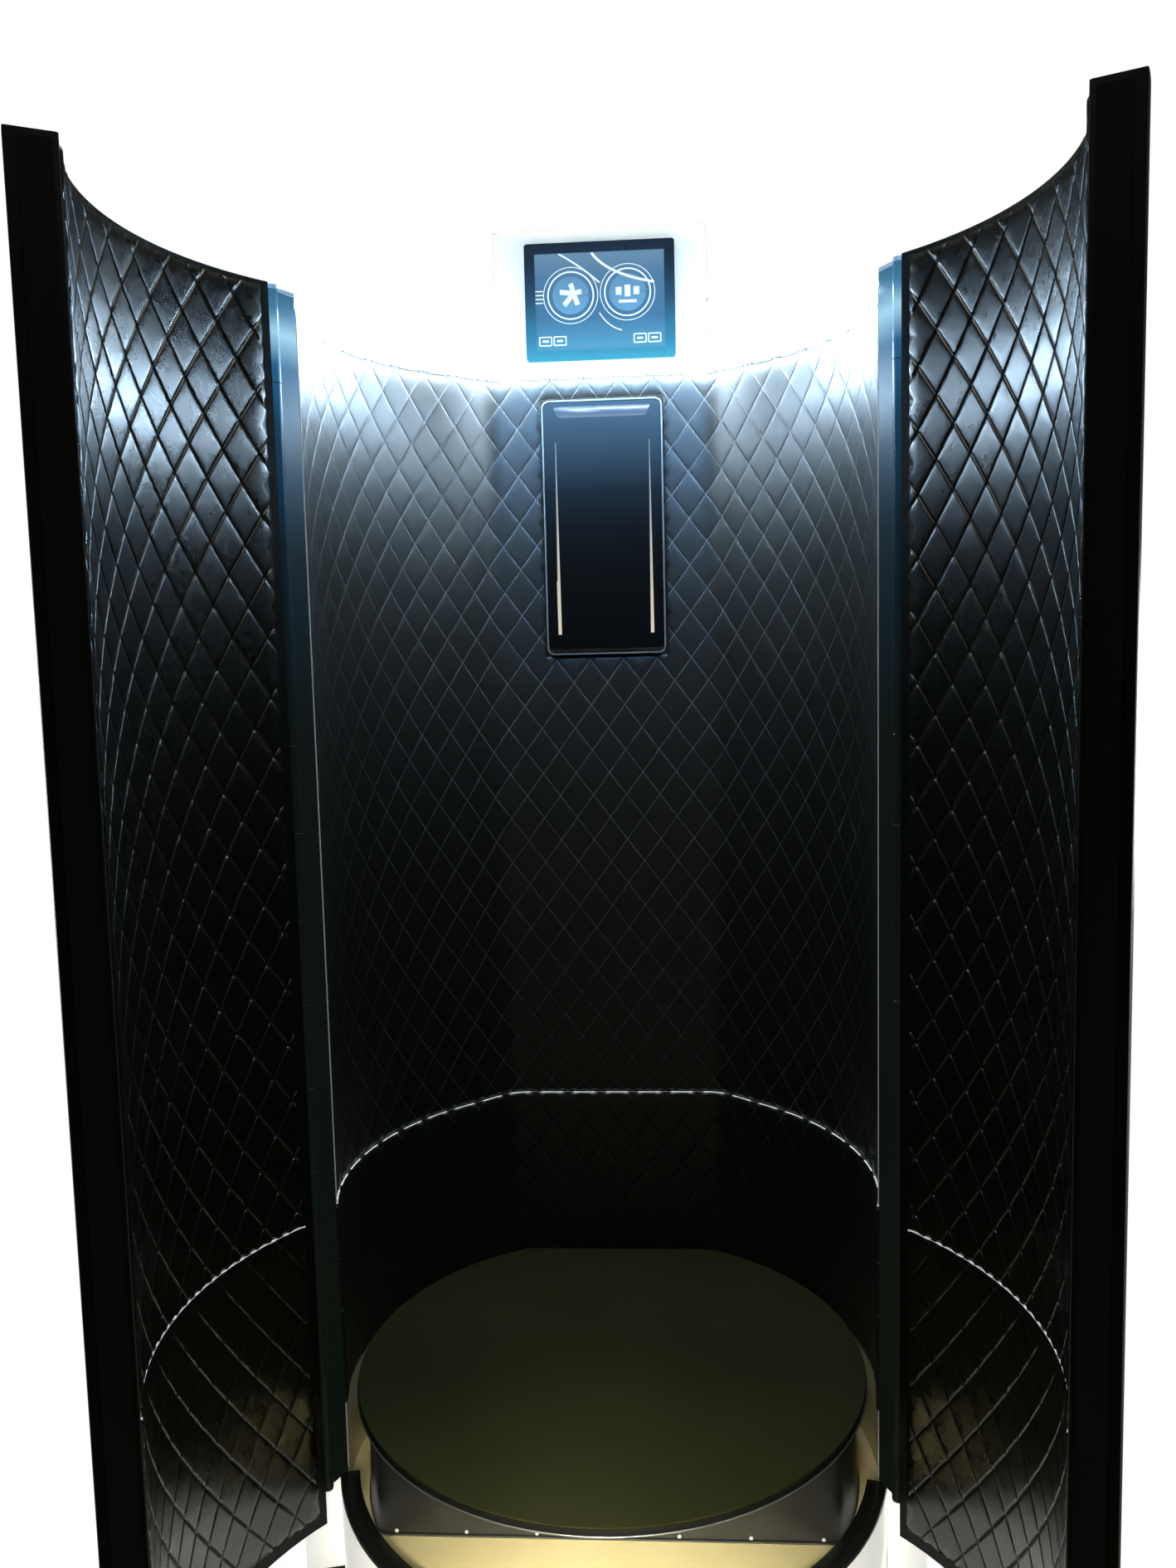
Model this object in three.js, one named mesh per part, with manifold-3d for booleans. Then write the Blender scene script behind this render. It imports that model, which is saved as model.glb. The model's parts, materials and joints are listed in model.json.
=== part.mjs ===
// A round walk-in booth: a quilted cabin wall, two curved doors, a rising floor platform and a
// machine tower with a touch screen behind the wall.
// Millimetres, +Z up. The origin is on the floor, under the centre of the round cabin.
// The doorway faces -Y, and +X is to the right of a person looking in.

import * as THREE from 'three';
import { mergeVertices } from 'three/addons/utils/BufferGeometryUtils.js';
import Module from 'manifold-3d';

const wasm = await Module();
wasm.setup();

// ---------------------------------------------------------------- driving dimensions

const GAP = 0.3;                 // clearance between pieces that touch
const ARC_STEP = 3;              // degrees between the points of a curved wall

const CABIN_R = 370;             // inner face of the quilting
const BACK_Y = 343;              // inner face of the flat stretch behind the user
const BEND_ANGLE = 48;           // where the round side runs out into a straight
const BEND_R = 60;               // radius of the bend into the flat back
const JAMB_ANGLE = 13.5;         // the wall ends this far in front of the X axis

const PAD = 10;                  // quilted pad
const LINER = 14;                // outside of the liner board behind the pad
const FOAM = 56;                 // outside of the insulation
const WALL = 62;                 // outside of the outer shell

const FOOT_TOP = 34;             // underside of the base plate
const BASE_PLATE = 6;
const BASE_TOP = 180;            // top of the threshold ring and of the plinth
const PAN_FLOOR = 143;           // top of the floor pan
const PAD_BOTTOM = 278;
const PIPING_Z = 560;            // joint between the lower and the upper quilting
const PAD_TOP = 1721;
const RIM_TOP = 1740;
const RING_IN = 354;             // threshold ring, inside and outside
const RING_OUT = 381;

const HINGE_R = 398;             // the hinge line, in polar form
const HINGE_ANGLE = 18.5;
const KNUCKLE_R = 7.5;
const PIN_R = 3;
const KNUCKLES = 5;              // door knuckles on each hinge
const KNUCKLE_LENGTH = 110;
const KNUCKLE_FIRST = 330;
const KNUCKLE_PITCH = 300;
const POST_BACK_ANGLE = 9.3;     // where the jamb post begins inside the wall

const DOOR_R = 387;              // inner face of the door's quilting when it is shut
const DOOR_FRAME_R = 424;
const DOOR_OUT_R = 431;
const DOOR_START = 20;           // hinge edge and free edge, in degrees from the X axis
const DOOR_END = 89;
const DOOR_WINDOW_START = 22;    // the frame's window, which the quilting fills
const DOOR_WINDOW_END = 87.2;
const DOOR_SHELL_BOTTOM = 114;
const DOOR_FRAME_BOTTOM = 141;
const DOOR_PAD_BOTTOM = 159;
const DOOR_PAD_TOP = 1733;
const LEFT_OPEN = 60;            // how far each door stands open at rest
const RIGHT_OPEN = 64;

const PLATFORM_R = 354;
const PLATFORM_BACK_Y = 320;
const PLATFORM_TOP = 300;
const PLATFORM_THICK = 12;
const COLUMN = 150;              // outer stage of the square lifting column
const COLUMN_WALL = 4;
const COLUMN_STEP = 14;          // each stage is this much slimmer than the one round it
const COLUMN_TOP = 272;
const SKIRT_R = 342;
const SKIRT_FRONT_Y = -165;
const SKIRT_BACK_Y = 300;

const PANEL_W = 190;             // service panel on the flat back
const PANEL_H = 398;
const PANEL_Z = 1286;
const PANEL_FRONT_Y = 336;
const PANEL_EDGE = 6;            // width of the panel's surround
const DUCT_W = 160;              // cold-air duct through the wall
const DUCT_H = 370;

const TOWER_W = 337;
const TOWER_FRONT_Y = 408;
const HEAD_FRONT_Y = 370;        // the head reaches forward over the wall's rim
const TOWER_BACK_Y = 680;
const TOWER_TOP = 1953;
const SHEET = 3;                 // sheet thickness of the tower
const SCREEN_Z = 1840.5;
const BEZEL_W = 237;
const BEZEL_H = 181;
const GLASS_W = 205;
const GLASS_H = 150;
const ROCKER_TILT = 10;          // the mains switch rests this far to its off side

// ---------------------------------------------------------------- finishes

const finish = (color, roughness, metalness) => ({ color, roughness, metalness });
const FINISHES = {
  leather: finish(0x14161c, 0.45, 0.0),
  blackSheet: finish(0x0c0d0e, 0.4, 0.2),
  glossBlack: finish(0x050608, 0.08, 0.0),
  darkMetal: finish(0x2b3238, 0.25, 0.9),
  steel: finish(0xb8bcc0, 0.3, 1.0),
  rubber: finish(0x101010, 0.8, 0.0),
  cream: finish(0xe4e0cc, 0.5, 0.0),
  towerWhite: finish(0xf2f0e4, 0.4, 0.0),
  light: finish(0xf4f8ff, 0.3, 0.0),
  display: finish(0x6fa6c8, 0.15, 0.0),
  mat: finish(0x262618, 0.7, 0.0),
  foam: finish(0xd8c890, 0.9, 0.0),
  board: finish(0x8a6a44, 0.7, 0.0),
  circuit: finish(0x1c5a34, 0.5, 0.0),
};

// ---------------------------------------------------------------- outlines and solids

const rad = THREE.MathUtils.degToRad;
const polar = (r, degrees) => new THREE.Vector2(r * Math.cos(rad(degrees)), r * Math.sin(rad(degrees)));
const mirrorX = (points) => points.map((p) => new THREE.Vector2(-p.x, p.y)).reverse();

const onSide = (side, points) => (side > 0 ? points : mirrorX(points));

// Points of an arc, ends included.
function arc(r, from, to, cx = 0, cy = 0, step = ARC_STEP) {
  const count = Math.max(1, Math.ceil(Math.abs(to - from) / step));
  const centre = new THREE.Vector2(cx, cy);
  return Array.from({ length: count + 1 }, (_, i) =>
    polar(r, from + ((to - from) * i) / count).add(centre));
}

// The flat back ends at x = BEND_X, where a bend takes the wall round to its side.
const BEND_Y = BACK_Y - BEND_R;
const BEND_X = (CABIN_R - BEND_R - BEND_Y * Math.sin(rad(BEND_ANGLE))) / Math.cos(rad(BEND_ANGLE));

// The line in plan of the wall's right side at a distance outside the quilting, from the jamb back.
const sideLine = (out, jamb = JAMB_ANGLE) => [
  ...arc(CABIN_R + out, -jamb, BEND_ANGLE),
  ...arc(BEND_R + out, BEND_ANGLE, 90, BEND_X, BEND_Y, 2 * ARC_STEP),
];

// The whole wall's line, from the right jamb round the back to the left jamb.
function wallLine(out, jamb) {
  const right = sideLine(out, jamb);
  return [...right, ...mirrorX(right)];
}

function extrude(points, z0, z1) {
  const shape = new THREE.Shape(points);
  return new THREE.ExtrudeGeometry(shape, { depth: z1 - z0, bevelEnabled: false, curveSegments: 1 })
    .translate(0, 0, z0);
}

// A curved slab between two lines that run the same way.
const band = (outer, inner, z0, z1) => extrude([...outer, ...[...inner].reverse()], z0, z1);
const wallBand = (from, to, z0, z1, jamb) => band(wallLine(to, jamb), wallLine(from, jamb), z0, z1);

function box(x0, x1, y0, y1, z0, z1) {
  return new THREE.BoxGeometry(x1 - x0, y1 - y0, z1 - z0)
    .translate((x0 + x1) / 2, (y0 + y1) / 2, (z0 + z1) / 2);
}

// A round bar along Z.
function rod(r, z0, z1, x = 0, y = 0, sides = 16) {
  return new THREE.CylinderGeometry(r, r, z1 - z0, sides)
    .rotateX(Math.PI / 2)
    .translate(x, y, (z0 + z1) / 2);
}

// A disc cut off straight in front and behind.
function cutDisc(r, frontY, backY) {
  const front = THREE.MathUtils.radToDeg(Math.asin(Math.max(frontY / r, -1)));
  const back = THREE.MathUtils.radToDeg(Math.asin(Math.min(backY / r, 1)));
  const right = arc(r, front, back);
  return [...right, ...mirrorX(right)];
}

function toManifold(geometry) {
  const bare = geometry.clone();
  bare.deleteAttribute('normal');
  bare.deleteAttribute('uv');
  const merged = mergeVertices(bare, 1e-4);
  return new wasm.Manifold(new wasm.Mesh({
    numProp: 3,
    vertProperties: new Float32Array(merged.attributes.position.array),
    triVerts: new Uint32Array(merged.index.array),
  }));
}

function fromManifold(solid) {
  const mesh = solid.getMesh();
  const geometry = new THREE.BufferGeometry();
  geometry.setAttribute('position', new THREE.BufferAttribute(new Float32Array(mesh.vertProperties), 3));
  geometry.setIndex(new THREE.BufferAttribute(new Uint32Array(mesh.triVerts), 1));
  geometry.computeVertexNormals();
  return geometry;
}

// Joins the first list and cuts the second list away from it.
function carve(joined, cut = []) {
  let solid = joined.map(toManifold).reduce((a, b) => a.add(b));
  for (const tool of cut) {
    solid = solid.subtract(toManifold(tool));
  }
  return fromManifold(solid);
}

function piece(parent, name, geometry, look) {
  const mesh = new THREE.Mesh(geometry, new THREE.MeshStandardMaterial(FINISHES[look]));
  mesh.name = name;
  parent.add(mesh);
  return mesh;
}

// ---------------------------------------------------------------- base

function addBase(cabin) {
  const front = (r) => arc(r, 180 + JAMB_ANGLE + GAP, 360 - JAMB_ANGLE - GAP);
  piece(cabin, 'base_plate',
    extrude([...wallLine(FOAM), ...front(RING_OUT - 2)], FOOT_TOP, FOOT_TOP + BASE_PLATE - GAP), 'blackSheet');
  piece(cabin, 'base_plinth', wallBand(PAD + GAP, WALL, FOOT_TOP + BASE_PLATE, BASE_TOP), 'blackSheet');
  piece(cabin, 'threshold_ring',
    band(front(RING_OUT), front(RING_IN), FOOT_TOP + BASE_PLATE, BASE_TOP), 'blackSheet');

  const well = COLUMN / 2 + 10;
  piece(cabin, 'floor_pan', carve(
    [extrude([...wallLine(PAD), ...front(RING_IN - GAP)], PAN_FLOOR - 3, PAN_FLOOR)],
    [box(-well, well, -well, well, PAN_FLOOR - 10, PAN_FLOOR + 10)]), 'cream');
  piece(cabin, 'wall_skirting', wallBand(0, PAD, PAN_FLOOR + GAP, PAD_BOTTOM - GAP), 'cream');

  // A levelling foot: a round pad, a stem and a lock nut under the base plate.
  const profile = [[0, 0], [22, 0], [22, 6], [9, 11], [6, 12], [6, 22], [10, 22], [10, 30], [6, 30],
    [6, FOOT_TOP - GAP], [0, FOOT_TOP - GAP]].map(([x, y]) => new THREE.Vector2(x, y));
  const places = { centre: [0, 0], front_left: [-230, -230], front_right: [230, -230],
    rear_left: [-120, 600], rear_right: [120, 600] };
  for (const [place, [x, y]] of Object.entries(places)) {
    const foot = new THREE.LatheGeometry(profile, 16).rotateX(Math.PI / 2);
    piece(cabin, `foot_${place}`, foot, 'steel').position.set(x, y, 0);
  }
}

// ---------------------------------------------------------------- cabin wall

function addWall(cabin) {
  const panelHole = box(-PANEL_W / 2 - GAP, PANEL_W / 2 + GAP, BACK_Y - 20, BACK_Y + PAD + 0.1,
    PANEL_Z - GAP, PANEL_Z + PANEL_H + GAP);
  const ductHole = ductBox(GAP, BACK_Y - 20, BACK_Y + WALL + 20);
  const bottom = BASE_TOP + GAP;

  piece(cabin, 'wall_quilt_lower', wallBand(0, PAD, PAD_BOTTOM, PIPING_Z - GAP), 'leather');
  piece(cabin, 'wall_quilt_upper',
    carve([wallBand(0, PAD, PIPING_Z, PAD_TOP)], [panelHole]), 'leather');
  piece(cabin, 'wall_liner',
    carve([wallBand(PAD + GAP, LINER, bottom, PAD_TOP, POST_BACK_ANGLE - GAP)], [ductHole]), 'board');
  piece(cabin, 'wall_insulation',
    carve([wallBand(LINER + GAP, FOAM, bottom, PAD_TOP, POST_BACK_ANGLE - GAP)], [ductHole]), 'foam');
  const shellOutline = [
    ...sideLine(WALL, POST_BACK_ANGLE - GAP),
    ...sideLine(FOAM + GAP, POST_BACK_ANGLE - GAP).reverse(),
  ];
  for (const [side, label] of [[-1, 'left'], [1, 'right']]) {
    piece(cabin, `wall_outer_shell_${label}`,
      extrude(onSide(side, shellOutline), bottom, PAD_TOP), 'blackSheet');
  }
  piece(cabin, 'wall_back_plate', carve(
    [box(-BEND_X + GAP, BEND_X - GAP, BACK_Y + FOAM + GAP, BACK_Y + WALL, bottom, PAD_TOP)],
    [ductHole]), 'blackSheet');
  piece(cabin, 'rim_light', wallBand(0, PAD, PAD_TOP + GAP, RIM_TOP), 'light');
  piece(cabin, 'rim_cap',
    wallBand(PAD + GAP, WALL, PAD_TOP + GAP, RIM_TOP, POST_BACK_ANGLE - GAP), 'blackSheet');
}

// ---------------------------------------------------------------- jambs and hinges

const knuckleHeights = Array.from({ length: KNUCKLES }, (_, i) => KNUCKLE_FIRST + i * KNUCKLE_PITCH);
const hingePoint = (side) => {
  const p = polar(HINGE_R, -HINGE_ANGLE);
  return new THREE.Vector2(side * p.x, p.y);
};

function addJamb(cabin, side, label) {
  const bottom = BASE_TOP + GAP;
  const axis = hingePoint(side);
  // Box section inside the wall, then a nose that covers the pad's edge and carries the knuckles.
  const section = onSide(side, [
    polar(CABIN_R + PAD + GAP, -POST_BACK_ANGLE),
    polar(CABIN_R + PAD + GAP, -JAMB_ANGLE - GAP),
    polar(CABIN_R, -JAMB_ANGLE - GAP),
    polar(HINGE_R - 5, -HINGE_ANGLE + 0.8),
    polar(HINGE_R + 4, -HINGE_ANGLE + 0.9),
    polar(HINGE_R + 6, -JAMB_ANGLE),
    polar(CABIN_R + WALL, -JAMB_ANGLE),
    polar(CABIN_R + WALL, -POST_BACK_ANGLE),
  ]);
  const slots = knuckleHeights.map((z) => rod(KNUCKLE_R + 1.5, z - 1, z + KNUCKLE_LENGTH + 1, axis.x, axis.y));
  const bore = rod(PIN_R + GAP, bottom - 10, RIM_TOP - 4, axis.x, axis.y, 12);
  piece(cabin, `jamb_post_${label}`,
    carve([extrude(section, bottom, RIM_TOP), rod(KNUCKLE_R, bottom, RIM_TOP, axis.x, axis.y)],
      [...slots, bore]), 'darkMetal');
  piece(cabin, `hinge_pin_${label}`, rod(PIN_R, bottom + 1, RIM_TOP - 5, axis.x, axis.y, 12), 'steel');
}

// ---------------------------------------------------------------- doors

// Each door is drawn shut, then its group turns it open about the hinge line.
function addDoor(booth, side, label, openAngle) {
  const axis = hingePoint(side);
  const turned = new THREE.Group();
  turned.position.set(axis.x, axis.y, 0);
  turned.rotation.z = rad(side * openAngle);
  const door = new THREE.Group();
  door.position.set(-axis.x, -axis.y, 0);
  turned.add(door);
  booth.add(turned);

  const doorArc = (r, from, to) => onSide(side, arc(r, -to, -from));
  const slab = (r0, r1, from, to, z0, z1) => band(doorArc(r1, from, to), doorArc(r0, from, to), z0, z1);
  const fill = (r0, r1, z0, z1) =>
    slab(r0, r1, DOOR_WINDOW_START + 0.05, DOOR_WINDOW_END - 0.05, z0, z1);

  const webSection = onSide(side, [
    polar(HINGE_R - 5, -DOOR_START - 0.4),
    polar(HINGE_R + 5, -DOOR_START - 0.4),
    polar(HINGE_R + 3, -HINGE_ANGLE - 0.4),
    polar(HINGE_R - 3, -HINGE_ANGLE - 0.4),
  ]);
  const knuckles = knuckleHeights.flatMap((z) => [
    rod(KNUCKLE_R, z, z + KNUCKLE_LENGTH, axis.x, axis.y),
    extrude(webSection, z, z + KNUCKLE_LENGTH),
  ]);
  piece(door, `door_frame_${label}`, carve(
    [slab(DOOR_R, DOOR_FRAME_R, DOOR_START, DOOR_END, DOOR_FRAME_BOTTOM, RIM_TOP), ...knuckles],
    [slab(DOOR_R - 5, DOOR_FRAME_R + 5, DOOR_WINDOW_START, DOOR_WINDOW_END,
      DOOR_PAD_BOTTOM, DOOR_PAD_TOP),
    rod(PIN_R + GAP, DOOR_FRAME_BOTTOM, RIM_TOP, axis.x, axis.y, 12)]), 'darkMetal');

  const padR = DOOR_R + PAD;
  const low = DOOR_PAD_BOTTOM + GAP;
  const high = DOOR_PAD_TOP - GAP;
  piece(door, `door_quilt_lower_${label}`, fill(DOOR_R, padR, low, PIPING_Z - GAP), 'leather');
  piece(door, `door_quilt_upper_${label}`, fill(DOOR_R, padR, PIPING_Z, high), 'leather');
  piece(door, `door_liner_${label}`, fill(padR + GAP, padR + 5, low, high), 'board');
  piece(door, `door_insulation_${label}`, fill(padR + 5 + GAP, DOOR_FRAME_R, low, high), 'foam');
  piece(door, `door_outer_shell_${label}`,
    slab(DOOR_FRAME_R + GAP, DOOR_OUT_R, DOOR_START, DOOR_END, DOOR_SHELL_BOTTOM, RIM_TOP), 'blackSheet');

  // The closing seal lies on the free edge.
  const along = polar(1, -DOOR_END);
  const across = polar(1, -DOOR_END - 90);
  const edge = (r, out) => along.clone().multiplyScalar(r).addScaledVector(across, out);
  piece(door, `door_seal_${label}`, extrude(
    onSide(side, [edge(392, GAP), edge(420, GAP), edge(420, 4), edge(392, 4)]),
    DOOR_PAD_BOTTOM, DOOR_PAD_TOP), 'rubber');
}

// ---------------------------------------------------------------- service panel

const ductBox = (grow, y0, y1) => box(-DUCT_W / 2 - grow, DUCT_W / 2 + grow, y0, y1,
  PANEL_Z + 14 - grow, PANEL_Z + 14 + DUCT_H + grow);

function addPanel(cabin) {
  const half = PANEL_W / 2;
  const top = PANEL_Z + PANEL_H;
  const pinZ = PANEL_Z + 10;
  const pinY = PANEL_FRONT_Y + 5;
  const inner = half - PANEL_EDGE;
  const crossRod = (r, reach) => new THREE.CylinderGeometry(r, r, 2 * reach, 12)
    .rotateZ(Math.PI / 2).translate(0, pinY, pinZ);

  piece(cabin, 'panel_surround', carve(
    [box(-half, half, PANEL_FRONT_Y, BACK_Y + PAD, PANEL_Z, top)],
    [box(-inner, inner, PANEL_FRONT_Y - 5, BACK_Y + PAD + 5, PANEL_Z + PANEL_EDGE, top - PANEL_EDGE),
      crossRod(1.8, half - 1)]), 'steel');

  // The flap turns on a cross pin near its bottom edge. Its top edge is cut back for the fingers.
  const flap = new THREE.Group();
  cabin.add(flap);
  const w = inner - 0.5;
  const front = PANEL_FRONT_Y + 2;
  const back = front + 6;
  const flapTop = top - PANEL_EDGE - 0.5;
  const recess = extrude([new THREE.Vector2(-70, 1), new THREE.Vector2(-60, -22),
    new THREE.Vector2(60, -22), new THREE.Vector2(70, 1)], 0, 4)
    .rotateX(Math.PI / 2).translate(0, front + 3.9, flapTop);
  const slots = [-1, 1].map((s) => box(s * 74 - 2.3, s * 74 + 2.3, front - 5, back + 5, 1318, 1620));
  piece(flap, 'panel_flap', carve(
    [box(-w, w, front, back, PANEL_Z + PANEL_EDGE + 2, flapTop), crossRod(1.5, half - 1.5)],
    [recess, ...slots]), 'glossBlack');
  for (const [s, label] of [[-1, 'left'], [1, 'right']]) {
    piece(flap, `panel_light_bar_${label}`,
      box(s * 74 - 2, s * 74 + 2, front - 0.5, back - 0.5, 1318.3, 1619.7), 'light');
  }

  piece(cabin, 'cold_air_duct', carve(
    [ductBox(0, BACK_Y + 10, TOWER_FRONT_Y + 38)],
    [ductBox(-2, BACK_Y - 10, TOWER_FRONT_Y + 60)]), 'steel');
}

// ---------------------------------------------------------------- machine tower

function addTower(cabin) {
  const half = TOWER_W / 2;
  const bottom = FOOT_TOP;
  const rear = TOWER_BACK_Y - SHEET - GAP;
  const headZ = RIM_TOP + GAP;
  // Side profile in Y and Z, pushed along X.
  const side = (inset, backY, w) => {
    const outline = [[TOWER_FRONT_Y + inset, bottom + inset], [backY, bottom + inset],
      [backY, TOWER_TOP - inset], [HEAD_FRONT_Y + inset, TOWER_TOP - inset],
      [HEAD_FRONT_Y + inset, headZ + inset], [TOWER_FRONT_Y + inset, headZ + inset]];
    return extrude(outline.map(([y, z]) => new THREE.Vector2(y, z)), -w, w)
      .rotateX(Math.PI / 2).rotateZ(Math.PI / 2);
  };
  piece(cabin, 'tower_housing', carve(
    [side(0, rear, half)],
    [side(SHEET, TOWER_BACK_Y + 20, half - SHEET),
      ductBox(1, TOWER_FRONT_Y - 10, TOWER_FRONT_Y + 10),
      box(-GLASS_W / 2 - 4, GLASS_W / 2 + 4, HEAD_FRONT_Y - 5, HEAD_FRONT_Y + 10,
        SCREEN_Z - GLASS_H / 2 - 4, SCREEN_Z + GLASS_H / 2 + 4)]), 'towerWhite');

  const vents = [];
  for (const z0 of [120, 1330]) {
    for (let i = 0; i < 9; i += 1) {
      vents.push(box(-90, 90, TOWER_BACK_Y - 20, TOWER_BACK_Y + 20, z0 + i * 30, z0 + i * 30 + 8));
    }
  }
  const switchX = -120;
  const inletX = 120;
  piece(cabin, 'tower_rear_cover', carve(
    [box(-half, half, TOWER_BACK_Y - SHEET, TOWER_BACK_Y, bottom, TOWER_TOP)],
    [...vents,
      box(switchX - 10.5, switchX + 10.5, TOWER_BACK_Y - 20, TOWER_BACK_Y + 20, 149.5, 180.5),
      box(inletX - 14, inletX + 14, TOWER_BACK_Y - 20, TOWER_BACK_Y + 20, 150, 172)]), 'towerWhite');

  // Rocker: a shallow wedge seen from the side. It rests tipped to its off side.
  const rocker = extrude([[-5, 14], [4, 14], [6.5, 0], [4, -14], [-5, -14]]
    .map(([y, z]) => new THREE.Vector2(y, z)), -10, 10)
    .rotateX(Math.PI / 2).rotateZ(Math.PI / 2);
  const mainsSwitch = piece(cabin, 'mains_switch', rocker, 'glossBlack');
  mainsSwitch.position.set(switchX, TOWER_BACK_Y - 4, 165);
  mainsSwitch.rotation.x = rad(-ROCKER_TILT);
  piece(cabin, 'power_inlet', carve(
    [box(inletX - 13.7, inletX + 13.7, TOWER_BACK_Y - 28, TOWER_BACK_Y + 1, 150.3, 171.7)],
    [box(inletX - 10, inletX + 10, TOWER_BACK_Y - 16, TOWER_BACK_Y + 5, 154, 168)]), 'glossBlack');

  piece(cabin, 'screen_bezel', carve(
    [box(-BEZEL_W / 2, BEZEL_W / 2, HEAD_FRONT_Y - 8, HEAD_FRONT_Y - GAP,
      SCREEN_Z - BEZEL_H / 2, SCREEN_Z + BEZEL_H / 2)],
    [box(-GLASS_W / 2, GLASS_W / 2, HEAD_FRONT_Y - 20, HEAD_FRONT_Y + 20,
      SCREEN_Z - GLASS_H / 2, SCREEN_Z + GLASS_H / 2)]), 'glossBlack');
  piece(cabin, 'screen_glass', box(-GLASS_W / 2 + GAP, GLASS_W / 2 - GAP, HEAD_FRONT_Y - 5, HEAD_FRONT_Y,
    SCREEN_Z - GLASS_H / 2 + GAP, SCREEN_Z + GLASS_H / 2 - GAP), 'display');
  piece(cabin, 'control_board', box(-95, 95, HEAD_FRONT_Y + 14, HEAD_FRONT_Y + 22,
    SCREEN_Z - 70, SCREEN_Z + 70), 'circuit');
  piece(cabin, 'power_supply', box(-150, -60, 440, 560, 800, 1040), 'steel');

  // Evaporator: a block of upright fins behind the duct.
  const comb = [];
  const fins = 24;
  const pitch = 280 / fins;
  for (let i = 0; i < fins; i += 1) {
    const x = -140 + i * pitch;
    comb.push([x, 455], [x + 2, 455], [x + 2, 540], [x + pitch, 540]);
  }
  const finOutline = [...comb, [140, 560], [-140, 560]].map(([x, y]) => new THREE.Vector2(x, y));
  piece(cabin, 'evaporator', extrude(finOutline, 1310, 1650), 'steel');

  const fanY = 600;
  const fanZ = 1480;
  const upright = (geometry) => geometry.rotateX(Math.PI / 2).translate(0, fanY, fanZ);
  piece(cabin, 'fan_shroud', carve(
    [upright(box(-140, 140, -140, 140, -20, 20))],
    [upright(rod(122, -30, 30, 0, 0, 48))]), 'blackSheet');
  const blades = Array.from({ length: 7 }, (_, i) =>
    box(25, 116, -22, 22, -1.5, 1.5).rotateX(rad(32)).rotateZ(rad((i * 360) / 7)));
  piece(cabin, 'fan_rotor', upright(carve([rod(36, -16, 16, 0, 0, 24), ...blades])), 'blackSheet');

  const domes = [[0, 45], [40, 45], [82, 60], [92, 90], [92, 260], [82, 295], [40, 315], [0, 315]]
    .map(([x, y]) => new THREE.Vector2(x, y));
  piece(cabin, 'compressor',
    new THREE.LatheGeometry(domes, 28).rotateX(Math.PI / 2).translate(0, 545, 0), 'blackSheet');
}

// ---------------------------------------------------------------- lifting platform

function addPlatform(cabin) {
  const stages = ['column_outer', 'column_middle', 'column_inner'];
  stages.forEach((name, i) => {
    const half = (COLUMN - i * COLUMN_STEP) / 2;
    const hollow = half - COLUMN_WALL;
    const z0 = FOOT_TOP + BASE_PLATE + i * 4;
    const z1 = COLUMN_TOP + i * 4;
    piece(cabin, name, carve([box(-half, half, -half, half, z0, z1)],
      [box(-hollow, hollow, -hollow, hollow, z0 - 10, z1 + 10)]), i === 1 ? 'steel' : 'darkMetal');
  });

  const boardBottom = PLATFORM_TOP - PLATFORM_THICK;
  const spider = [box(-240, 240, -40, 40, COLUMN_TOP + 8 + GAP, boardBottom - GAP),
    box(-40, 40, SKIRT_FRONT_Y + 15, 240, COLUMN_TOP + 8 + GAP, boardBottom - GAP),
    box(-100, 100, -100, 100, COLUMN_TOP + 8 + GAP, boardBottom - GAP)];
  piece(cabin, 'platform_frame', carve(spider), 'steel');
  piece(cabin, 'platform_board',
    extrude(cutDisc(PLATFORM_R, -PLATFORM_R, PLATFORM_BACK_Y), boardBottom, PLATFORM_TOP), 'mat');

  const skirtLine = (inset) =>
    cutDisc(SKIRT_R - inset, SKIRT_FRONT_Y + inset, SKIRT_BACK_Y - inset);
  piece(cabin, 'skirt', carve(
    [extrude(skirtLine(0), PAN_FLOOR + GAP, boardBottom - GAP)],
    [extrude(skirtLine(3), PAN_FLOOR - 10, PLATFORM_TOP + 10)]), 'leather');
}

// ---------------------------------------------------------------- assembly

const booth = new THREE.Group();
addBase(booth);
addWall(booth);
for (const [side, label, angle] of [[-1, 'left', LEFT_OPEN], [1, 'right', RIGHT_OPEN]]) {
  addJamb(booth, side, label);
  addDoor(booth, side, label, angle);
}
addPanel(booth);
addTower(booth);
addPlatform(booth);

export default booth;
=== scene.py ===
"""Looks of the round walk-in booth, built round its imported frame.

Every length is in metres, in the booth's own frame: +Z up, -Y out through the doorway. Wall pieces
are first modelled flat, with X along the wall, Y through it and Z up, and are then bent to their
line in plan.
"""

import json  # noqa: E402
import logging  # noqa: E402
import math  # noqa: E402
from dataclasses import dataclass, field, replace  # noqa: E402
from enum import Enum  # noqa: E402
from typing import Iterable, Optional, Sequence  # noqa: E402

import bmesh  # noqa: E402
import bpy  # noqa: E402
import numpy as np  # noqa: E402
from mathutils import Matrix, Vector  # noqa: E402


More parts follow.
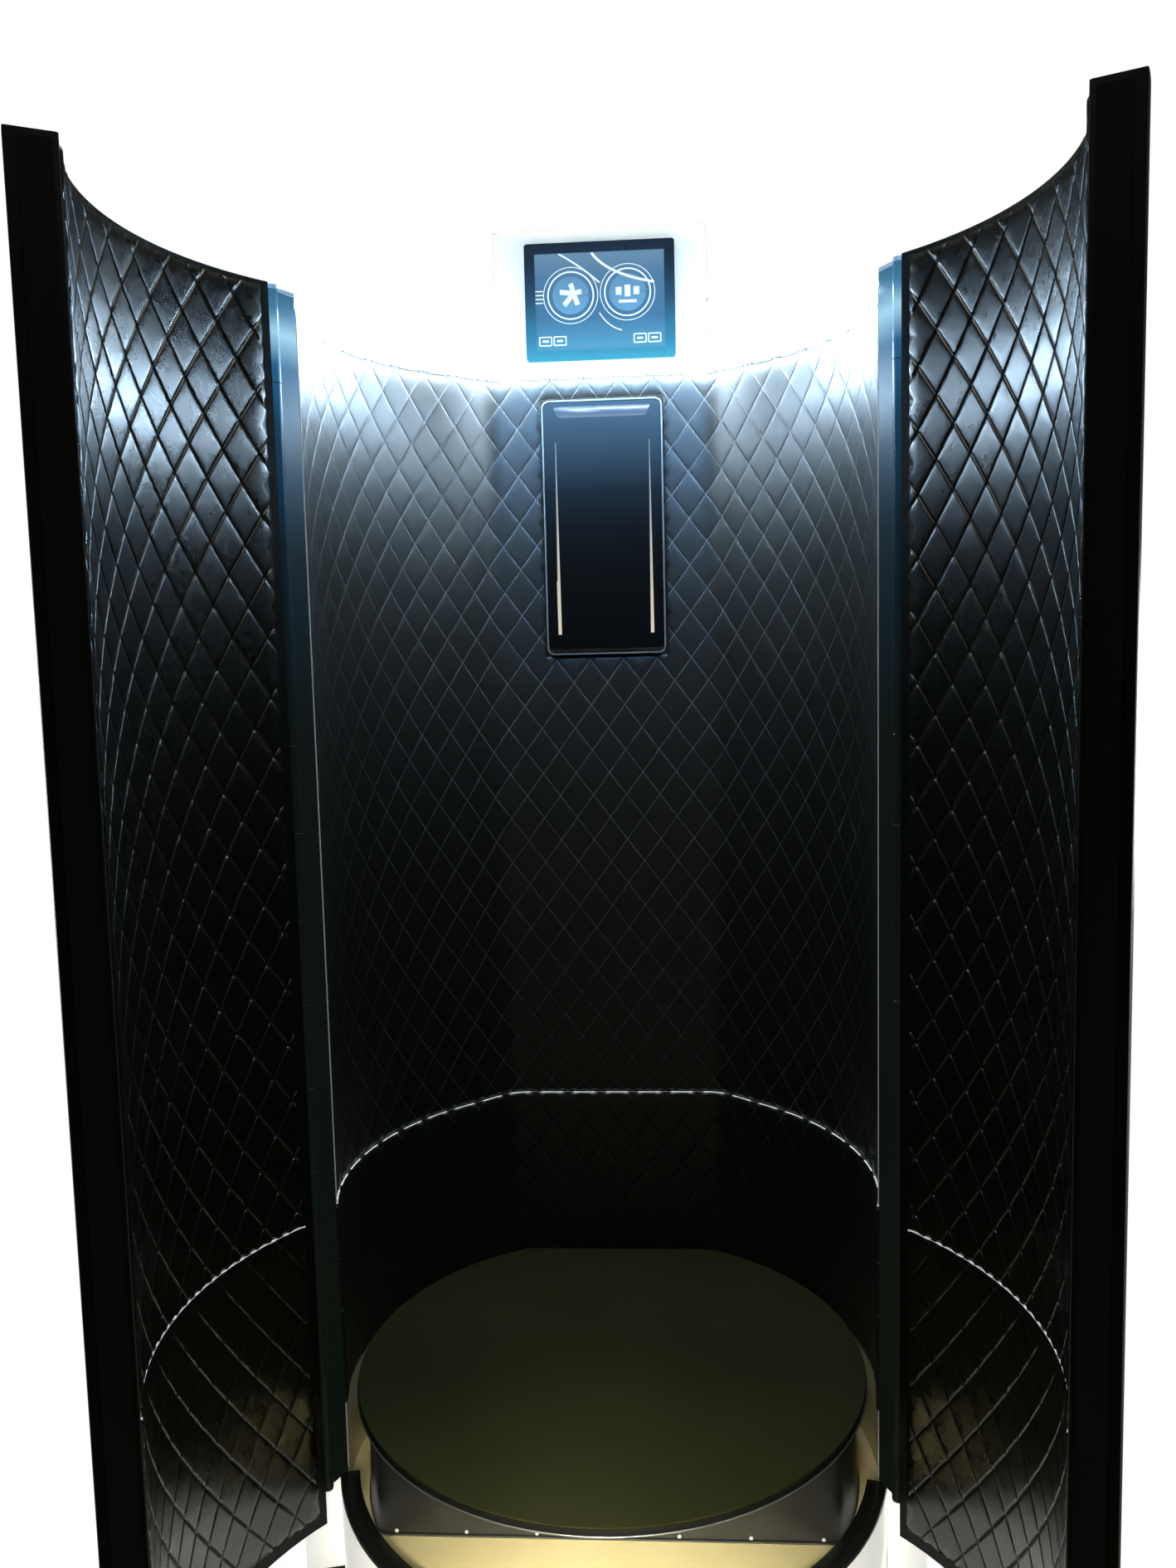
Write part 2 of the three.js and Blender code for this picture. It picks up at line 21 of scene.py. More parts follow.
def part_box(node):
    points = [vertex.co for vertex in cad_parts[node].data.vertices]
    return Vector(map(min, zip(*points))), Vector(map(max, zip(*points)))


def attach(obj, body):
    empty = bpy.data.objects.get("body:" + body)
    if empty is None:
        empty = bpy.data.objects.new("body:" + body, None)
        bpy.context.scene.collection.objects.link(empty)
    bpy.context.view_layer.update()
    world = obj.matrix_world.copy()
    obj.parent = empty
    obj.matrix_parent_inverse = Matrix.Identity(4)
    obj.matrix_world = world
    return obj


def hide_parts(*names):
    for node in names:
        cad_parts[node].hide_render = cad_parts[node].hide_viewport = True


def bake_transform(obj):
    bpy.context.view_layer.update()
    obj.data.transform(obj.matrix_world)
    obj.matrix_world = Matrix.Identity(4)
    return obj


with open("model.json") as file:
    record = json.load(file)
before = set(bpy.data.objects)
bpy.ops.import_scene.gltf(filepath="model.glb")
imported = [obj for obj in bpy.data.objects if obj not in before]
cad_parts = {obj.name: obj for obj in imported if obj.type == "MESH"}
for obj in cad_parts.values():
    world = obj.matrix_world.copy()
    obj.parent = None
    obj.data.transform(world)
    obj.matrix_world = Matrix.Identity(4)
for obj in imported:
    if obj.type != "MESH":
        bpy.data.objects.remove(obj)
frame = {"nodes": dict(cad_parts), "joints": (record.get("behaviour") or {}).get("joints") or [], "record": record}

log = logging.getLogger("booth")

Colour = tuple[float, float, float]
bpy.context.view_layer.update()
MM = 0.001


# ------------------------------------------------------------------ shader wiring


class Wire:
    """A number that runs through a node tree. Python operators on it add Math nodes."""

    def __init__(self, shade: "Shade", socket: bpy.types.NodeSocket) -> None:
        """Wraps a node's output socket."""
        self.shade = shade
        self.socket = socket

    def _math(self, operation: str, *values: object, clamp: bool = False) -> "Wire":
        """Adds one Math node.

        Args:
            operation: the Math node's operation.
            values: its inputs, in order.
            clamp: whether the result is held between 0 and 1.

        Returns:
            The node's result.
        """
        settings = {"operation": operation, "use_clamp": clamp}
        return self.shade.node("ShaderNodeMath", settings, dict(enumerate(values)))

    def __add__(self, other: object) -> "Wire":
        """Sum."""
        return self._math("ADD", self, other)

    __radd__ = __add__

    def __sub__(self, other: object) -> "Wire":
        """Difference."""
        return self._math("SUBTRACT", self, other)

    def __rsub__(self, other: object) -> "Wire":
        """Difference with the number first."""
        return self._math("SUBTRACT", other, self)

    def __mul__(self, other: object) -> "Wire":
        """Product."""
        return self._math("MULTIPLY", self, other)

    __rmul__ = __mul__

    def __truediv__(self, other: object) -> "Wire":
        """Quotient."""
        return self._math("DIVIDE", self, other)

    def __lt__(self, other: object) -> "Wire":
        """1 where this is the smaller."""
        return self._math("LESS_THAN", self, other)

    def __gt__(self, other: object) -> "Wire":
        """1 where this is the greater."""
        return self._math("GREATER_THAN", self, other)

    def __abs__(self) -> "Wire":
        """Size without sign."""
        return self._math("ABSOLUTE", self)

    def power(self, exponent: float) -> "Wire":
        """This raised to a power."""
        return self._math("POWER", self, exponent)

    def low(self, other: object) -> "Wire":
        """The smaller of two."""
        return self._math("MINIMUM", self, other)

    def high(self, other: object) -> "Wire":
        """The greater of two."""
        return self._math("MAXIMUM", self, other)

    def fract(self) -> "Wire":
        """The part after the decimal point."""
        return self._math("FRACT", self)

    def wave(self) -> "Wire":
        """The sine of this."""
        return self._math("SINE", self)

    def ramp(self, start: float, end: float) -> "Wire":
        """0 before start, 1 past end, straight in between; end may be the smaller."""
        return self._math("MULTIPLY", self - start, 1.0 / (end - start), clamp=True)


class Shade:
    """One material's node tree and the calls that fill it."""

    def __init__(self, name: str) -> None:
        """Makes an empty material with a Principled shader."""
        self.material = bpy.data.materials.new(name)
        self.material.use_nodes = True
        self.tree = self.material.node_tree
        self.tree.nodes.clear()
        self.surface = self.tree.nodes.new("ShaderNodeBsdfPrincipled")
        output = self.tree.nodes.new("ShaderNodeOutputMaterial")
        self.tree.links.new(self.surface.outputs[0], output.inputs[0])

    def put(self, socket: bpy.types.NodeSocket, value: object) -> None:
        """Sets a socket, or links it when the value is a wire or a socket."""
        if isinstance(value, Wire):
            self.tree.links.new(value.socket, socket)
        elif isinstance(value, bpy.types.NodeSocket):
            self.tree.links.new(value, socket)
        else:
            socket.default_value = value

    def node(self, kind: str, settings: Optional[dict] = None, inputs: Optional[dict] = None,
             output: object = 0) -> Wire:
        """Adds any node.

        Args:
            kind: the node's type.
            settings: attributes set first; "stops" fills a colour ramp with (place, colour) pairs.
            inputs: socket index or name to a value, a wire or a socket.
            output: index or name of the output to hand back.

        Returns:
            The chosen output.
        """
        made = self.tree.nodes.new(kind)
        for key, value in (settings or {}).items():
            if key == "stops":
                ramp = made.color_ramp
                while len(ramp.elements) < len(value):
                    ramp.elements.new(1.0)
                for element, (place, colour) in zip(ramp.elements, value):
                    element.position = place
                    element.color = (*colour, 1.0)
            else:
                setattr(made, key, value)
        for key, value in (inputs or {}).items():
            self.put(made.inputs[key], value)
        return Wire(self, made.outputs[output])

    def place(self) -> Wire:
        """The point on the surface, in metres in the booth's frame."""
        return self.node("ShaderNodeTexCoord", output="Object")

    def lattice(self) -> tuple[Wire, Wire]:
        """The piece's own UV map, as its two numbers."""
        uv = self.node("ShaderNodeTexCoord", output="UV")
        parts = self.node("ShaderNodeSeparateXYZ", inputs={0: uv})
        return parts, Wire(self, parts.socket.node.outputs[1])

    def height(self) -> Wire:
        """The surface point's height above the floor."""
        return self.node("ShaderNodeSeparateXYZ", inputs={0: self.place()}, output=2)

    def noise(self, size: float, detail: float = 3.0, stretch: Sequence[float] = (1, 1, 1)) -> Wire:
        """Soft noise from 0 to 1.

        Args:
            size: the width of one lump.
            detail: how many finer layers it has.
            stretch: how much longer the lumps are along each axis.

        Returns:
            The noise's value.
        """
        scaled = self.node("ShaderNodeMapping", inputs={"Vector": self.place(),
                           "Scale": tuple(1.0 / (size * s) for s in stretch)})
        return self.node("ShaderNodeTexNoise", inputs={"Vector": scaled, "Scale": 1.0, "Detail": detail})

    def cells(self, size: float) -> Wire:
        """Distance from the edges of irregular cells of about this size, in cell widths."""
        scaled = self.node("ShaderNodeMapping", inputs={"Vector": self.place(),
                           "Scale": (1.0 / size,) * 3})
        return self.node("ShaderNodeTexVoronoi", {"feature": "DISTANCE_TO_EDGE"},
                         {"Vector": scaled, "Scale": 1.0})

    def blend(self, factor: object, low: object, high: object) -> Wire:
        """A colour between two colours."""
        inputs = {0: factor, 6: self._colour(low), 7: self._colour(high)}
        return self.node("ShaderNodeMix", {"data_type": "RGBA"}, inputs, output=2)

    @staticmethod
    def _colour(value: object) -> object:
        """A colour with its fourth number, or the wire as it is."""
        return value if isinstance(value, Wire) else (*value, 1.0)

    def bump(self, height: Wire, depth: float, under: Optional[Wire] = None) -> Wire:
        """A bump whose height of 1 stands for depth metres."""
        inputs = {"Height": height, "Distance": depth, "Strength": 1.0}
        if under is not None:
            inputs["Normal"] = under
        return self.node("ShaderNodeBump", inputs=inputs)


class Grain(Enum):
    """What a surface feels like under a finger."""

    PLAIN = "plain"
    LEATHER = "leather"
    POWDER = "powder"
    BRUSHED = "brushed"
    MAT = "mat"
    FOAM = "foam"
    WOOD = "wood"


@dataclass(frozen=True)
class Finish:
    """A surface finish. Subclasses add what only they have."""

    name: str
    colour: Colour
    rough: float
    tint: Optional[Colour] = None
    metal: float = 0.0
    specular: float = 0.5
    coat: float = 0.0
    coat_rough: float = 0.08
    grain: Grain = Grain.PLAIN
    grain_size: float = 1.0 * MM
    grain_depth: float = 0.05 * MM
    patch: float = 0.18
    smudge: float = 0.06
    glow: Optional[Colour] = None
    glow_strength: float = 0.0

    def build(self) -> bpy.types.Material:
        """Makes the material, or hands back the one made before."""
        known = bpy.data.materials.get(self.name)
        if known is not None:
            return known
        shade = Shade(self.name)
        surface = shade.surface
        surface.inputs["Metallic"].default_value = self.metal
        surface.inputs["Specular IOR Level"].default_value = self.specular
        surface.inputs["Coat Weight"].default_value = self.coat
        surface.inputs["Coat Roughness"].default_value = self.coat_rough
        cloud = shade.noise(self.patch)
        shade.put(surface.inputs["Base Color"], self.paint(shade, cloud))
        shade.put(surface.inputs["Roughness"], self.polish(shade, cloud))
        shade.put(surface.inputs["Normal"], self.relief(shade))
        self.light(shade)
        return shade.material

    def paint(self, shade: Shade, cloud: Wire) -> Wire:
        """Base colour: the colour and its tint in slow patches."""
        tint = self.tint or tuple(0.8 * c for c in self.colour)
        return shade.blend(cloud.ramp(0.35, 0.65), self.colour, tint)

    def polish(self, shade: Shade, cloud: Wire) -> Wire:
        """Roughness: the mean with faint smudges."""
        fine = shade.noise(0.02, detail=5.0)
        return (cloud + fine - 1.0) * self.smudge + self.rough

    def relief(self, shade: Shade) -> Wire:
        """The bump that the grain gives."""
        size, depth = self.grain_size, self.grain_depth
        if self.grain is Grain.LEATHER:
            pebbles = shade.cells(size).ramp(0.0, 0.22)
            return shade.bump(pebbles * 0.7 + shade.noise(size * 6) * 0.6, depth)
        if self.grain is Grain.BRUSHED:
            return shade.bump(shade.noise(size, stretch=(1, 1, 40)), depth)
        if self.grain is Grain.MAT:
            return shade.bump(shade.cells(size).ramp(0.02, 0.3) + shade.noise(size * 8) * 0.5, depth)
        if self.grain is Grain.FOAM:
            return shade.bump(shade.cells(size).ramp(0.0, 0.5), depth)
        if self.grain is Grain.WOOD:
            return shade.bump(shade.noise(size, stretch=(12, 1, 1)), depth)
        return shade.bump(shade.noise(size), depth)

    def light(self, shade: Shade) -> None:
        """Emission: real light on the rim diffuser and the screen, painted highlight and painted light on the
        piping, the white base and the edge beads.
        """
        if self.glow is not None:
            shade.surface.inputs["Emission Color"].default_value = (*self.glow, 1.0)
            shade.surface.inputs["Emission Strength"].default_value = self.glow_strength


@dataclass(frozen=True)
class QuiltLeather(Finish):
    """Leatherette sewn in diamonds. It reads the piece's lattice, where seams lie on whole numbers."""

    thread: Colour = (0.17, 0.18, 0.19)
    stitches: float = 12.0
    thread_half: float = 0.007
    pucker: float = 0.09

    def _seam(self, across: Wire, along: Wire) -> tuple[Wire, Wire]:
        """Thread mask and pucker height of the seams across one lattice direction."""
        inside = across.fract()
        off = inside.low(1.0 - inside)
        beat = (along * self.stitches).fract()
        thread = (off < self.thread_half) * (abs(beat - 0.5) < 0.38)
        near = off.ramp(self.pucker, 0.0)
        ripple = ((along * (self.stitches * math.tau)).wave() * 0.5 + 0.5) * near * near
        return thread, ripple

    def paint(self, shade: Shade, cloud: Wire) -> Wire:
        """Leather with thread along the seams."""
        u, v = shade.lattice()
        thread = self._seam(u, v)[0].high(self._seam(v, u)[0])
        return shade.blend(thread, super().paint(shade, cloud), self.thread)

    def relief(self, shade: Shade) -> Wire:
        """Leather grain over puckers beside the stitches."""
        u, v = shade.lattice()
        (thread_u, ripple_u), (thread_v, ripple_v) = self._seam(u, v), self._seam(v, u)
        sewn = shade.bump(ripple_u + ripple_v + thread_u.high(thread_v) * 0.8, 0.35 * MM)
        pebbles = shade.cells(self.grain_size).ramp(0.0, 0.22)
        return shade.bump(pebbles * 0.7 + shade.noise(self.grain_size * 6) * 0.6, self.grain_depth, sewn)


@dataclass(frozen=True)
class TallGlow(Finish):
    """A finish whose glow is set by height: painted reflection, highlight and shade on the jamb, flap, bezel,
    recess and bars, and real light on the screen.
    """

    stops: tuple[tuple[float, Colour], ...] = ()
    floor_z: float = 0.0
    top_z: float = 1.0

    def light(self, shade: Shade) -> None:
        """Emission by height."""
        share = shade.height().ramp(self.floor_z, self.top_z)
        colour = shade.node("ShaderNodeValToRGB", {"stops": self.stops}, {0: share})
        shade.put(shade.surface.inputs["Emission Color"], colour)
        shade.surface.inputs["Emission Strength"].default_value = self.glow_strength


LEATHER = QuiltLeather("quilted_leatherette", (0.0052, 0.0054, 0.0026), 0.28,
                       tint=(0.0040, 0.0042, 0.0020), specular=0.8, grain=Grain.LEATHER,
                       grain_size=1.3 * MM, grain_depth=0.03 * MM)
WALL_LEATHER = replace(LEATHER, name="quilted_leatherette_wall", rough=0.40)
PLAIN_LEATHER = Finish("plain_leatherette", (0.016, 0.016, 0.014), 0.42, tint=(0.011, 0.011, 0.010),
                       grain=Grain.LEATHER, grain_size=1.3 * MM, grain_depth=0.06 * MM)
# Light grey cord; its faint glow is a painted highlight.
PIPING = Finish("piping_cord", (0.72, 0.73, 0.71), 0.5, tint=(0.66, 0.67, 0.65), grain_size=0.8 * MM,
                grain_depth=0.004 * MM, glow=(0.80, 0.86, 0.84), glow_strength=0.55)
BLACK_SHEET = Finish("black_powder_coat", (0.006, 0.006, 0.005), 0.42, specular=0.35, grain=Grain.POWDER,
                     grain_size=0.6 * MM, grain_depth=0.02 * MM)
RING_COAT = Finish("threshold_enamel", (0.010, 0.011, 0.009), 0.22, specular=0.5, grain=Grain.POWDER,
                   grain_size=0.8 * MM, grain_depth=0.01 * MM)
FRAME_COAT = Finish("door_frame_coat", (0.0060, 0.0072, 0.0052), 0.48, specular=0.15, grain=Grain.POWDER,
                    grain_size=0.6 * MM, grain_depth=0.015 * MM)
SEAL_RUBBER = Finish("door_seal_rubber", (0.0065, 0.0078, 0.0055), 0.55, specular=0.3, grain=Grain.MAT,
                     grain_size=0.9 * MM, grain_depth=0.02 * MM)
# Dark jamb metal; the glow that rises to a bright blue band near the top is a painted reflection of the rim light.
# The hinge barrels share it.
JAMB_PAINTED_REFLECTION = TallGlow("jamb_painted_reflection", (0.005, 0.008, 0.008), 0.30, specular=0.3, grain=Grain.BRUSHED,
                      grain_size=0.5 * MM, grain_depth=0.004 * MM, glow_strength=1.0,
                      stops=((0.0, (0.003, 0.005, 0.003)), (0.62, (0.003, 0.005, 0.004)),
                             (0.78, (0.004, 0.012, 0.020)), (0.88, (0.008, 0.045, 0.095)),
                             (0.935, (0.02, 0.12, 0.27)), (0.962, (0.36, 0.66, 0.85)),
                             (0.978, (0.06, 0.22, 0.38)), (1.0, (0.03, 0.12, 0.22))),
                      floor_z=0.3, top_z=1.74)
STEEL = Finish("brushed_steel", (0.55, 0.56, 0.57), 0.30, metal=1.0, grain=Grain.BRUSHED,
               grain_size=0.4 * MM, grain_depth=0.01 * MM)
CHROME = Finish("satin_trim", (0.40, 0.41, 0.41), 0.32, metal=0.75, grain=Grain.PLAIN,
                grain_size=4 * MM, grain_depth=0.004 * MM)
CREAM = Finish("cream_enamel", (0.78, 0.68, 0.38), 0.32, tint=(0.70, 0.60, 0.32), coat=0.3,
               grain=Grain.POWDER, grain_size=1.0 * MM, grain_depth=0.01 * MM)
# White base enamel; its glow is painted light that keeps it as bright as the backdrop.
BASE_WHITE = Finish("base_enamel", (0.88, 0.88, 0.84), 0.5, tint=(0.86, 0.86, 0.82), grain=Grain.POWDER,
                    grain_size=0.7 * MM, grain_depth=0.015 * MM, glow=(1.0, 1.0, 0.97), glow_strength=0.5)
TOWER = Finish("tower_enamel", (0.56, 0.555, 0.50), 0.42, tint=(0.54, 0.53, 0.475), grain=Grain.POWDER,
               grain_size=0.7 * MM, grain_depth=0.015 * MM)
# Gloss black flap; the blue glow growing towards its top is a painted reflection.
GLOSS_PAINTED_REFLECTION = TallGlow("gloss_black_painted_reflection", (0.002, 0.002, 0.002), 0.25, specular=0.4, smudge=0.012,
                 grain=Grain.PLAIN, grain_size=40 * MM, grain_depth=0.02 * MM, glow_strength=1.0,
                 stops=((0.35, (0.0, 0.0, 0.0)), (0.50, (0.001, 0.002, 0.004)),
                        (0.65, (0.005, 0.012, 0.023)), (0.85, (0.030, 0.072, 0.130)),
                        (1.0, (0.052, 0.115, 0.190))), floor_z=1.292, top_z=1.678)
# Gloss bezel; the cyan glow at its foot fading to navy at its top is a painted reflection of the rim light.
BEZEL_PAINTED_REFLECTION = TallGlow("bezel_painted_reflection", (0.003, 0.005, 0.008), 0.3, specular=0.15,
                 grain=Grain.PLAIN, grain_size=30 * MM, grain_depth=0.01 * MM, glow_strength=1.0,
                 stops=((0.0, (0.02, 0.36, 0.52)), (0.15, (0.01, 0.21, 0.36)),
                        (0.5, (0.004, 0.045, 0.095)), (0.8, (0.001, 0.007, 0.018)),
                        (1.0, (0.001, 0.003, 0.008))),
                 floor_z=1.75, top_z=1.931)
DISPLAY = TallGlow("display_glass", (0.005, 0.012, 0.02), 0.35, specular=0.2,
                   grain=Grain.PLAIN, grain_size=30 * MM, grain_depth=0.01 * MM, glow_strength=1.0,
                   stops=((0.0, (0.06, 0.30, 0.46)), (0.35, (0.03, 0.13, 0.25)),
                          (0.75, (0.06, 0.16, 0.28)), (1.0, (0.13, 0.25, 0.37))),
                   floor_z=1.765, top_z=1.916)
GRAPHIC = Finish("display_graphic", (0.10, 0.11, 0.12), 0.3, glow=(0.70, 0.86, 0.95), glow_strength=1.0)
GRAPHIC_DIM = Finish("display_graphic_dim", (0.01, 0.02, 0.03), 0.3, glow=(0.07, 0.21, 0.34),
                     glow_strength=1.0)
RIM_GLOW = Finish("rim_diffuser", (0.95, 0.97, 1.0), 0.4, glow=(0.56, 0.78, 1.0), glow_strength=82.0)
# Slim bars that glow warm below and blue above: painted highlights.
BAR_PAINTED_HIGHLIGHT = TallGlow("bar_painted_highlight", (0.10, 0.09, 0.075), 0.4, glow_strength=1.0, floor_z=1.31, top_z=1.63,
                    stops=((0.0, (0.62, 0.55, 0.40)), (0.45, (0.42, 0.39, 0.31)),
                           (0.75, (0.16, 0.19, 0.22)), (1.0, (0.03, 0.05, 0.09))))
MAT = Finish("platform_mat_rubber", (0.024, 0.0245, 0.0080), 0.75, tint=(0.0175, 0.0185, 0.0055),
             specular=0.08, grain=Grain.MAT, grain_size=1.8 * MM, grain_depth=0.12 * MM, patch=0.25)
FOAM = Finish("insulation_foam", (0.68, 0.60, 0.38), 0.9, grain=Grain.FOAM, grain_size=2 * MM,
              grain_depth=0.3 * MM)
BOARD = Finish("liner_plywood", (0.36, 0.25, 0.15), 0.7, tint=(0.28, 0.18, 0.10), grain=Grain.WOOD,
               grain_size=2 * MM, grain_depth=0.1 * MM)
CIRCUIT = Finish("control_board_resist", (0.02, 0.14, 0.06), 0.4, tint=(0.03, 0.20, 0.08))
FIN = Finish("exchanger_fin", (0.70, 0.72, 0.74), 0.35, metal=1.0, grain=Grain.BRUSHED,
             grain_size=0.4 * MM, grain_depth=0.02 * MM)
ENAMEL = Finish("compressor_enamel", (0.015, 0.015, 0.016), 0.25, coat=0.5)
FAN = Finish("fan_blade_plastic", (0.02, 0.02, 0.02), 0.5, grain=Grain.POWDER)
COLUMN = Finish("column_anodised", (0.22, 0.23, 0.24), 0.28, metal=0.9, grain=Grain.BRUSHED,
                grain_size=0.5 * MM, grain_depth=0.01 * MM)
THREAD = Finish("sewing_thread", (0.30, 0.32, 0.35), 0.55, grain=Grain.PLAIN, grain_size=0.4 * MM)
# Grey edge bead; its faint glow is a painted highlight.
EDGE_PAINTED_HIGHLIGHT = Finish("edge_bead_painted_highlight", (0.50, 0.52, 0.52), 0.35,
                     glow=(0.8, 0.84, 0.84), glow_strength=0.12)
JAMB_CAP = Finish("jamb_cap_satin", (0.62, 0.64, 0.65), 0.35, metal=0.3)
EDGE_STRIP = Finish("edge_strip_anodised", (0.16, 0.20, 0.23), 0.36, metal=0.85, grain=Grain.BRUSHED,
                    grain_size=0.5 * MM, grain_depth=0.006 * MM)
EDGE_BEAD = Finish("edge_bead", (0.06, 0.065, 0.075), 0.32, grain=Grain.LEATHER, grain_size=0.8 * MM,
                   grain_depth=0.03 * MM)
STUD = Finish("snap_stud", (0.80, 0.80, 0.78), 0.3, coat=0.3)
# Finger recess: the dark blue at the top is painted shade, the light lip at the foot a painted highlight.
RECESS_PAINTED_SHADE_AND_HIGHLIGHT = TallGlow("recess_painted_shade_and_highlight", (0.01, 0.015, 0.025), 0.32, glow_strength=1.0,
                  floor_z=1.650, top_z=1.676, stops=((0.0, (0.75, 0.85, 0.95)), (0.16, (0.30, 0.42, 0.56)),
                                                     (0.5, (0.12, 0.22, 0.38)), (1.0, (0.05, 0.11, 0.22))))

OWN_FINISH = {"mains_switch": FAN, "power_inlet": FAN}
NODE_FINISH = {
    "steel": STEEL, "jamb_metal": JAMB_PAINTED_REFLECTION, "door_frame_metal": FRAME_COAT, "seal_rubber": SEAL_RUBBER,
    "cream_pan": CREAM, "gloss_panel": GLOSS_PAINTED_REFLECTION, "bezel_plastic": BEZEL_PAINTED_REFLECTION, "display": DISPLAY,
    "tower_paint": TOWER, "circuit_board": CIRCUIT, "fin_aluminium": FIN, "compressor_shell": ENAMEL,
    "fan_plastic": FAN, "column_metal": COLUMN, "platform_mat": MAT, "black_sheet": BLACK_SHEET,
    "insulation": FOAM, "liner_board": BOARD, "light_diffuser": RIM_GLOW, "light_bar": BAR_PAINTED_HIGHLIGHT,
    "chrome_trim": CHROME, "quilted_leather": PLAIN_LEATHER, "skirt_leather": PLAIN_LEATHER,
}


# ------------------------------------------------------------------ mesh helpers


def add_piece(name: str, bm: bmesh.types.BMesh, finish: Finish, body: str,
              replaces: Sequence[str] = (), smooth: bool = True) -> bpy.types.Object:
    """Turns a bmesh into a piece of the booth.

    Args:
        name: the piece's name.
        bm: its shape, in the booth's frame; it is freed.
        finish: its material.
        body: the moving body that it rides on, or "" to leave it unattached.
        replaces: CAD nodes it stands for.
        smooth: whether its faces are shaded smooth, with edges over 40 degrees kept sharp.

    Returns:
        The new object.
    """
    mesh = bpy.data.meshes.new(name)
    bm.to_mesh(mesh)
    bm.free()
    piece = bpy.data.objects.new(name, mesh)
    bpy.context.scene.collection.objects.link(piece)
    mesh.materials.append(finish.build())
    if smooth:
        mesh.shade_smooth()
        mesh.set_sharp_from_angle(angle=math.radians(40))
    if body:
        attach(piece, body)
    if replaces:
        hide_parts(*replaces)
    log.info("made %s with %d faces", name, len(mesh.polygons))
    return piece


def add_modifier(piece: bpy.types.Object, kind: str, **settings: object) -> None:
    """Adds a modifier with the given settings."""
    modifier = piece.modifiers.new(kind.title(), kind)
    for key, value in settings.items():
        setattr(modifier, key, value)


def box_mesh(low: Sequence[float], high: Sequence[float], round_by: float = 0.0,
             segments: int = 2) -> bmesh.types.BMesh:
    """A box between two corners, its edges rounded."""
    bm = bmesh.new()
    bmesh.ops.create_cube(bm, size=1.0)
    low_v, high_v = Vector(low), Vector(high)
    bmesh.ops.scale(bm, vec=high_v - low_v, verts=bm.verts)
    bmesh.ops.translate(bm, vec=(low_v + high_v) / 2, verts=bm.verts)
    if round_by > 0:
        bmesh.ops.bevel(bm, geom=bm.edges, offset=round_by, affect="EDGES", segments=segments,
                        profile=0.5, material=-1)
    return bm


def join(parts: Iterable[bmesh.types.BMesh]) -> bmesh.types.BMesh:
    """All the given shapes in one bmesh."""
    whole = bmesh.new()
    for part in parts:
        held = bpy.data.meshes.new("held")
        part.to_mesh(held)
        part.free()
        whole.from_mesh(held)
        bpy.data.meshes.remove(held)
    return whole


def spun(profile: Sequence[tuple[float, float]], steps: int = 32) -> bmesh.types.BMesh:
    """A shape turned round Z from (radius, height) points that start and end on the axis."""
    bm = bmesh.new()
    verts = [bm.verts.new((r, 0.0, z)) for r, z in profile]
    edges = [bm.edges.new(pair) for pair in zip(verts, verts[1:])]
    bmesh.ops.spin(bm, geom=verts + edges, cent=(0, 0, 0), axis=(0, 0, 1), angle=math.tau,
                   steps=steps, use_merge=True)
    bmesh.ops.remove_doubles(bm, verts=bm.verts, dist=1e-6)
    bmesh.ops.recalc_face_normals(bm, faces=bm.faces)
    return bm


def outline_prism(points: Sequence[tuple[float, float]], low: float, high: float,
                  round_by: float = 0.0, segments: int = 2) -> bmesh.types.BMesh:
    """A closed outline in X and Y pushed up from one height to another, its rims rounded."""
    bm = bmesh.new()
    face = bm.faces.new([bm.verts.new((x, y, low)) for x, y in points])
    grown = bmesh.ops.extrude_face_region(bm, geom=[face])
    top = [v for v in grown["geom"] if isinstance(v, bmesh.types.BMVert)]
    bmesh.ops.translate(bm, vec=(0, 0, high - low), verts=top)
    bmesh.ops.recalc_face_normals(bm, faces=bm.faces)
    if round_by > 0:
        rims = [e for e in bm.edges if abs(e.verts[0].co.z - e.verts[1].co.z) < 1e-7]
        bmesh.ops.bevel(bm, geom=rims, offset=round_by, affect="EDGES", segments=segments,
                        profile=0.5, material=-1)
    caps = [f for f in bm.faces if len(f.verts) > 4 or abs(f.normal.z) > 0.99]
    bmesh.ops.inset_region(bm, faces=caps, thickness=0.15 * MM, depth=0.0)
    return bm


def flat_slab(along: tuple[float, float], through: tuple[float, float], up: tuple[float, float],
              step: float = 0.012, round_by: float = 1.0 * MM) -> bmesh.types.BMesh:
    """A slab modelled flat, cut often enough along X to be bent, with its long edges rounded."""
    bm = box_mesh((along[0], through[0], up[0]), (along[1], through[1], up[1]), round_by)
    cuts = max(2, round((along[1] - along[0]) / step))
    for i in range(1, cuts):
        x = along[0] + (along[1] - along[0]) * i / cuts
        bmesh.ops.bisect_plane(bm, geom=bm.verts[:] + bm.edges[:] + bm.faces[:], plane_co=(x, 0, 0),
                               plane_no=(1, 0, 0), dist=1e-7)
    return bm


